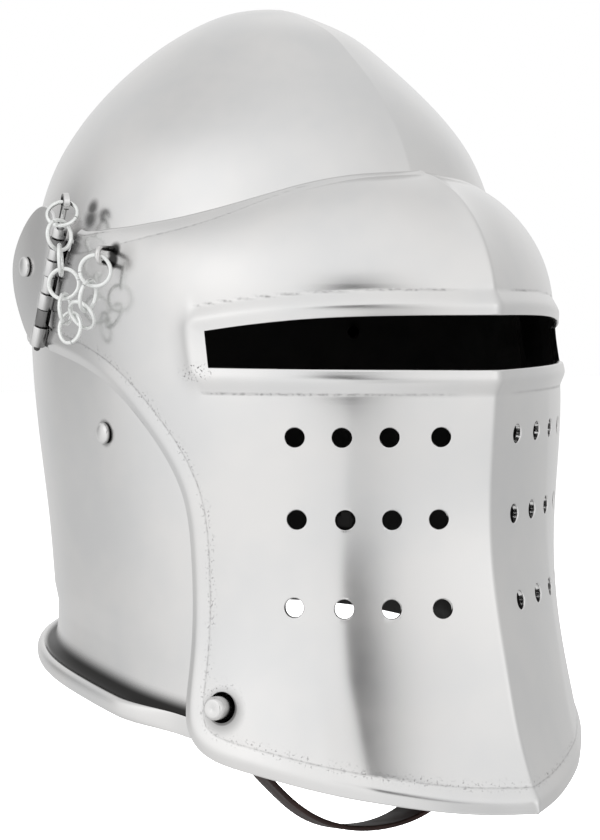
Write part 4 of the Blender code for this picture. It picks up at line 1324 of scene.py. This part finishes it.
def lockingPeg():
    centre, axis = pegLine()
    radius = peg["radius"]
    profile = [(-15.2, 6.6), (-13.6, 6.6), (-13.59, radius), (4.9, radius), (5.3, radius - 0.08),
               (6.3, radius - 0.75), (6.55, radius - 1.1), (6.6, radius - 1.4), (6.6, 0.55), (6.4, 0.2)]
    piece = turned("lockingPeg", centre, axis, profile, turnedSteel, 56)
    # painted shade on the part of the peg inside the hole
    along = (vertexPlaces(piece) - centre) @ axis
    markVertices(piece, "shadeMark", 0.97 * ramp(0.8, -1.2, along))
    return placed(smoothShaded(piece, 32), "peg", "steel", "locking_peg")


strap = {
    "wide": 20.0, "thick": 2.0, "start": (-26.0, -158.5),
    # beside the skull: steps back and down from the rivet, gap to the wall
    "beside": ((0.0, 9.0, 0.9), (0.0, 0.0, 0.8), (-1.0, -16.0, 1.2), (-4.0, -36.0, 2.2), (-9.0, -58.0, 4.0),
               (-18.0, -80.0, 7.0)),
    "under": ((67.0, -55.5, -260.0), (58.0, -63.0, -278.0), (46.0, -68.5, -294.5), (30.5, -72.0, -308.5),
              (14.5, -73.5, -315.0), (0.0, -74.0, -316.5)),
}


def chinStrap():
    y, z = strap["start"]
    half, slopes = [], []
    for back, down, gap in strap["beside"]:
        inside = skullX(y + back, z + down) - skullShape["plate"] - strap["thick"] / 2
        half.append((inside - gap, y + back, z + down))
        slopes.append((skullX(y + back + 2, z + down) - skullX(y + back - 2, z + down)) / 4)
    half += list(strap["under"])
    slopes += [0.0] * len(strap["under"])
    line = np.array(half + [(-a, b, c) for a, b, c in half[-2::-1]])
    lean = np.array(slopes + [-v for v in slopes[-2::-1]])
    run = lengthAlong(line)
    places = np.linspace(0, run[-1], 240)
    path = np.stack([smoothCurve(run, line[:, k])(places) for k in range(3)], axis=1)
    # it leans with the jaw
    under = ramp(skullShape["neckLine"] + 20, skullShape["neckLine"] - 10, path[:, 2])
    leans = np.interp(places, run, lean) - 0.3 * under * np.clip(path[:, 0] / 40, -1, 1)
    wide, thick = strap["wide"] / 2, strap["thick"] / 2
    corner = [(math.cos(a), math.sin(a)) for a in np.linspace(0, math.pi / 2, 5)]
    section = []
    for sideways, up in ((1, 1), (-1, 1), (-1, -1), (1, -1)):
        arc = corner if sideways * up > 0 else corner[::-1]
        section += [(sideways * (wide - 0.7 + 0.7 * a), up * (thick - 0.7 + 0.7 * b)) for a, b in arc]
    piece = swept("chinStrap", path, section, leather,
                  [(v, 1.0, -0.2 * u) for v, u in zip(leans, under)])
    print("chin strap:", round(lengthAlong(path)[-1]), "mm long")
    return placed(smoothShaded(piece, 50), "skull", "leather", "chin_strap")


bpy.context.scene.view_settings.view_transform = "Standard"

skullPiece()
sheet = visorPiece()
chinStrap()
lockingPeg()
for side in (right, left):
    visorKnuckles(side, sheet)
    pivotPlate(side)
    hingePin(side)
    staple(side)
    for number in range(1, len(chain["gapAt"]) + 1):
        chainRing(number, side)
    for kind in rivets:
        rivet(kind, side)
print("fittings made")


# camera, light and floor

view = {"place": (-0.4169, -0.6507, -0.1100), "azimuth": -33.46, "elevation": 3.51, "lens": 77.14}


def addCamera():
    data = bpy.data.cameras.new("camera")
    data.lens = view["lens"]
    data.sensor_width = 36.0
    data.clip_start = 0.01
    camera = bpy.data.objects.new("camera", data)
    bpy.context.scene.collection.objects.link(camera)
    camera.location = view["place"]
    camera.rotation_euler = (math.radians(90 - view["elevation"]), 0, math.radians(view["azimuth"]))
    bpy.context.scene.camera = camera


addCamera()

studio = {
    "level": 0.845, "slope": (-0.24, -0.11, 0.07),
    # soft panels round the helmet, dimmer than the room where the strength is below zero:
    # azimuth, elevation, strength, tightness
    "panels": ((-85, 27, 0.20, 15), (1, 8, 0.26, 26), (134, 19, 0.30, 5), (-155, 8, -0.40, 26),
               (-147, 55, -0.13, 14)),
    # the unlit gap between the front panels leans: azimuth, lean, strength high and low, narrowness,
    # where it ends above and below
    "gap": (-31.5, -0.52, -1.2, -0.26, 78, (0.34, 0.46), (-0.66, -0.46)),
    "floor": -0.75,
}


def towards(azimuth, elevation):
    a, e = math.radians(azimuth), math.radians(elevation)
    return (math.sin(a) * math.cos(e), -math.cos(a) * math.cos(e), math.sin(e))


def addStudio():
    # a white room seen directly; in reflections it has soft panels, a gap and a darker side
    world = bpy.data.worlds.new("studio")
    bpy.context.scene.world = world
    world.use_nodes = True
    tree = world.node_tree
    tree.nodes.clear()
    place = addNode(tree, placeNode).outputs["Generated"]

    def facing(direction):
        return addNode(tree, vectorNode, {"operation": "DOT_PRODUCT", 1: direction}, i0=place).outputs[1]

    total = sums(tree, "ADD", facing(studio["slope"]), studio["level"])
    for azimuth, elevation, strength, tight in studio["panels"]:
        near = sums(tree, "MULTIPLY_ADD", facing(towards(azimuth, elevation)), tight, -tight)
        total = sums(tree, "MULTIPLY_ADD", sums(tree, "EXPONENT", near), strength, total)
    azimuth, lean, high, low, narrow, above, below = studio["gap"]
    height = facing((0, 0, 1))
    across = sums(tree, "MULTIPLY_ADD", mapped(tree, height, -0.22, 0.17, -0.22, 0.17), -lean,
                  facing(towards(azimuth + 90, 0)))
    bar = sums(tree, "EXPONENT", sums(tree, "MULTIPLY", sums(tree, "MULTIPLY", across, across), -narrow))
    over = mapped(tree, height, *above, 1.0, 0.0, smooth=True)
    under = mapped(tree, height, *below, smooth=True)
    ahead = sums(tree, "GREATER_THAN", facing(towards(azimuth, 0)), 0.0)
    bar = sums(tree, "MULTIPLY", sums(tree, "MULTIPLY", bar, over), sums(tree, "MULTIPLY", under, ahead))
    depth = mapped(tree, height, -0.14, 0.10, low, high)
    total = sums(tree, "MAXIMUM", sums(tree, "MULTIPLY_ADD", bar, depth, total), 0.0)
    path = addNode(tree, "ShaderNodeLightPath")
    seen = path.outputs["Is Camera Ray"]
    matte = sums(tree, "MULTIPLY_ADD", path.outputs["Is Diffuse Ray"], 0.3, 1.0)
    total = sums(tree, "MULTIPLY", total, matte)
    room = addNode(tree, "ShaderNodeBackground", {"Color": (1, 1, 1, 1)}, Strength=total)
    white = addNode(tree, "ShaderNodeBackground", {"Color": (1, 1, 1, 1), "Strength": 1.0})
    both = addNode(tree, "ShaderNodeMixShader", i0=seen, i1=room.outputs[0], i2=white.outputs[0])
    addNode(tree, "ShaderNodeOutputWorld", Surface=both.outputs[0])


def addFloor():
    half = 12000.0
    z = studio["floor"] / mm
    points = [(x * half, y * half, z) for x, y in ((-1, -1), (1, -1), (1, 1), (-1, 1))]
    floor = newPiece("floor", points, [(0, 1, 2, 3)], paper)
    floor.visible_glossy = False


def addLamp():
    # an overhead softbox that lights the floor and the leather
    data = bpy.data.lights.new("softbox", "AREA")
    data.shape = "DISK"
    data.size = 3.0
    data.energy = 320.0
    lamp = bpy.data.objects.new("softbox", data)
    bpy.context.scene.collection.objects.link(lamp)
    lamp.location = (0, 0, 2.2)
    lamp.visible_glossy = False


addStudio()
addFloor()
addLamp()
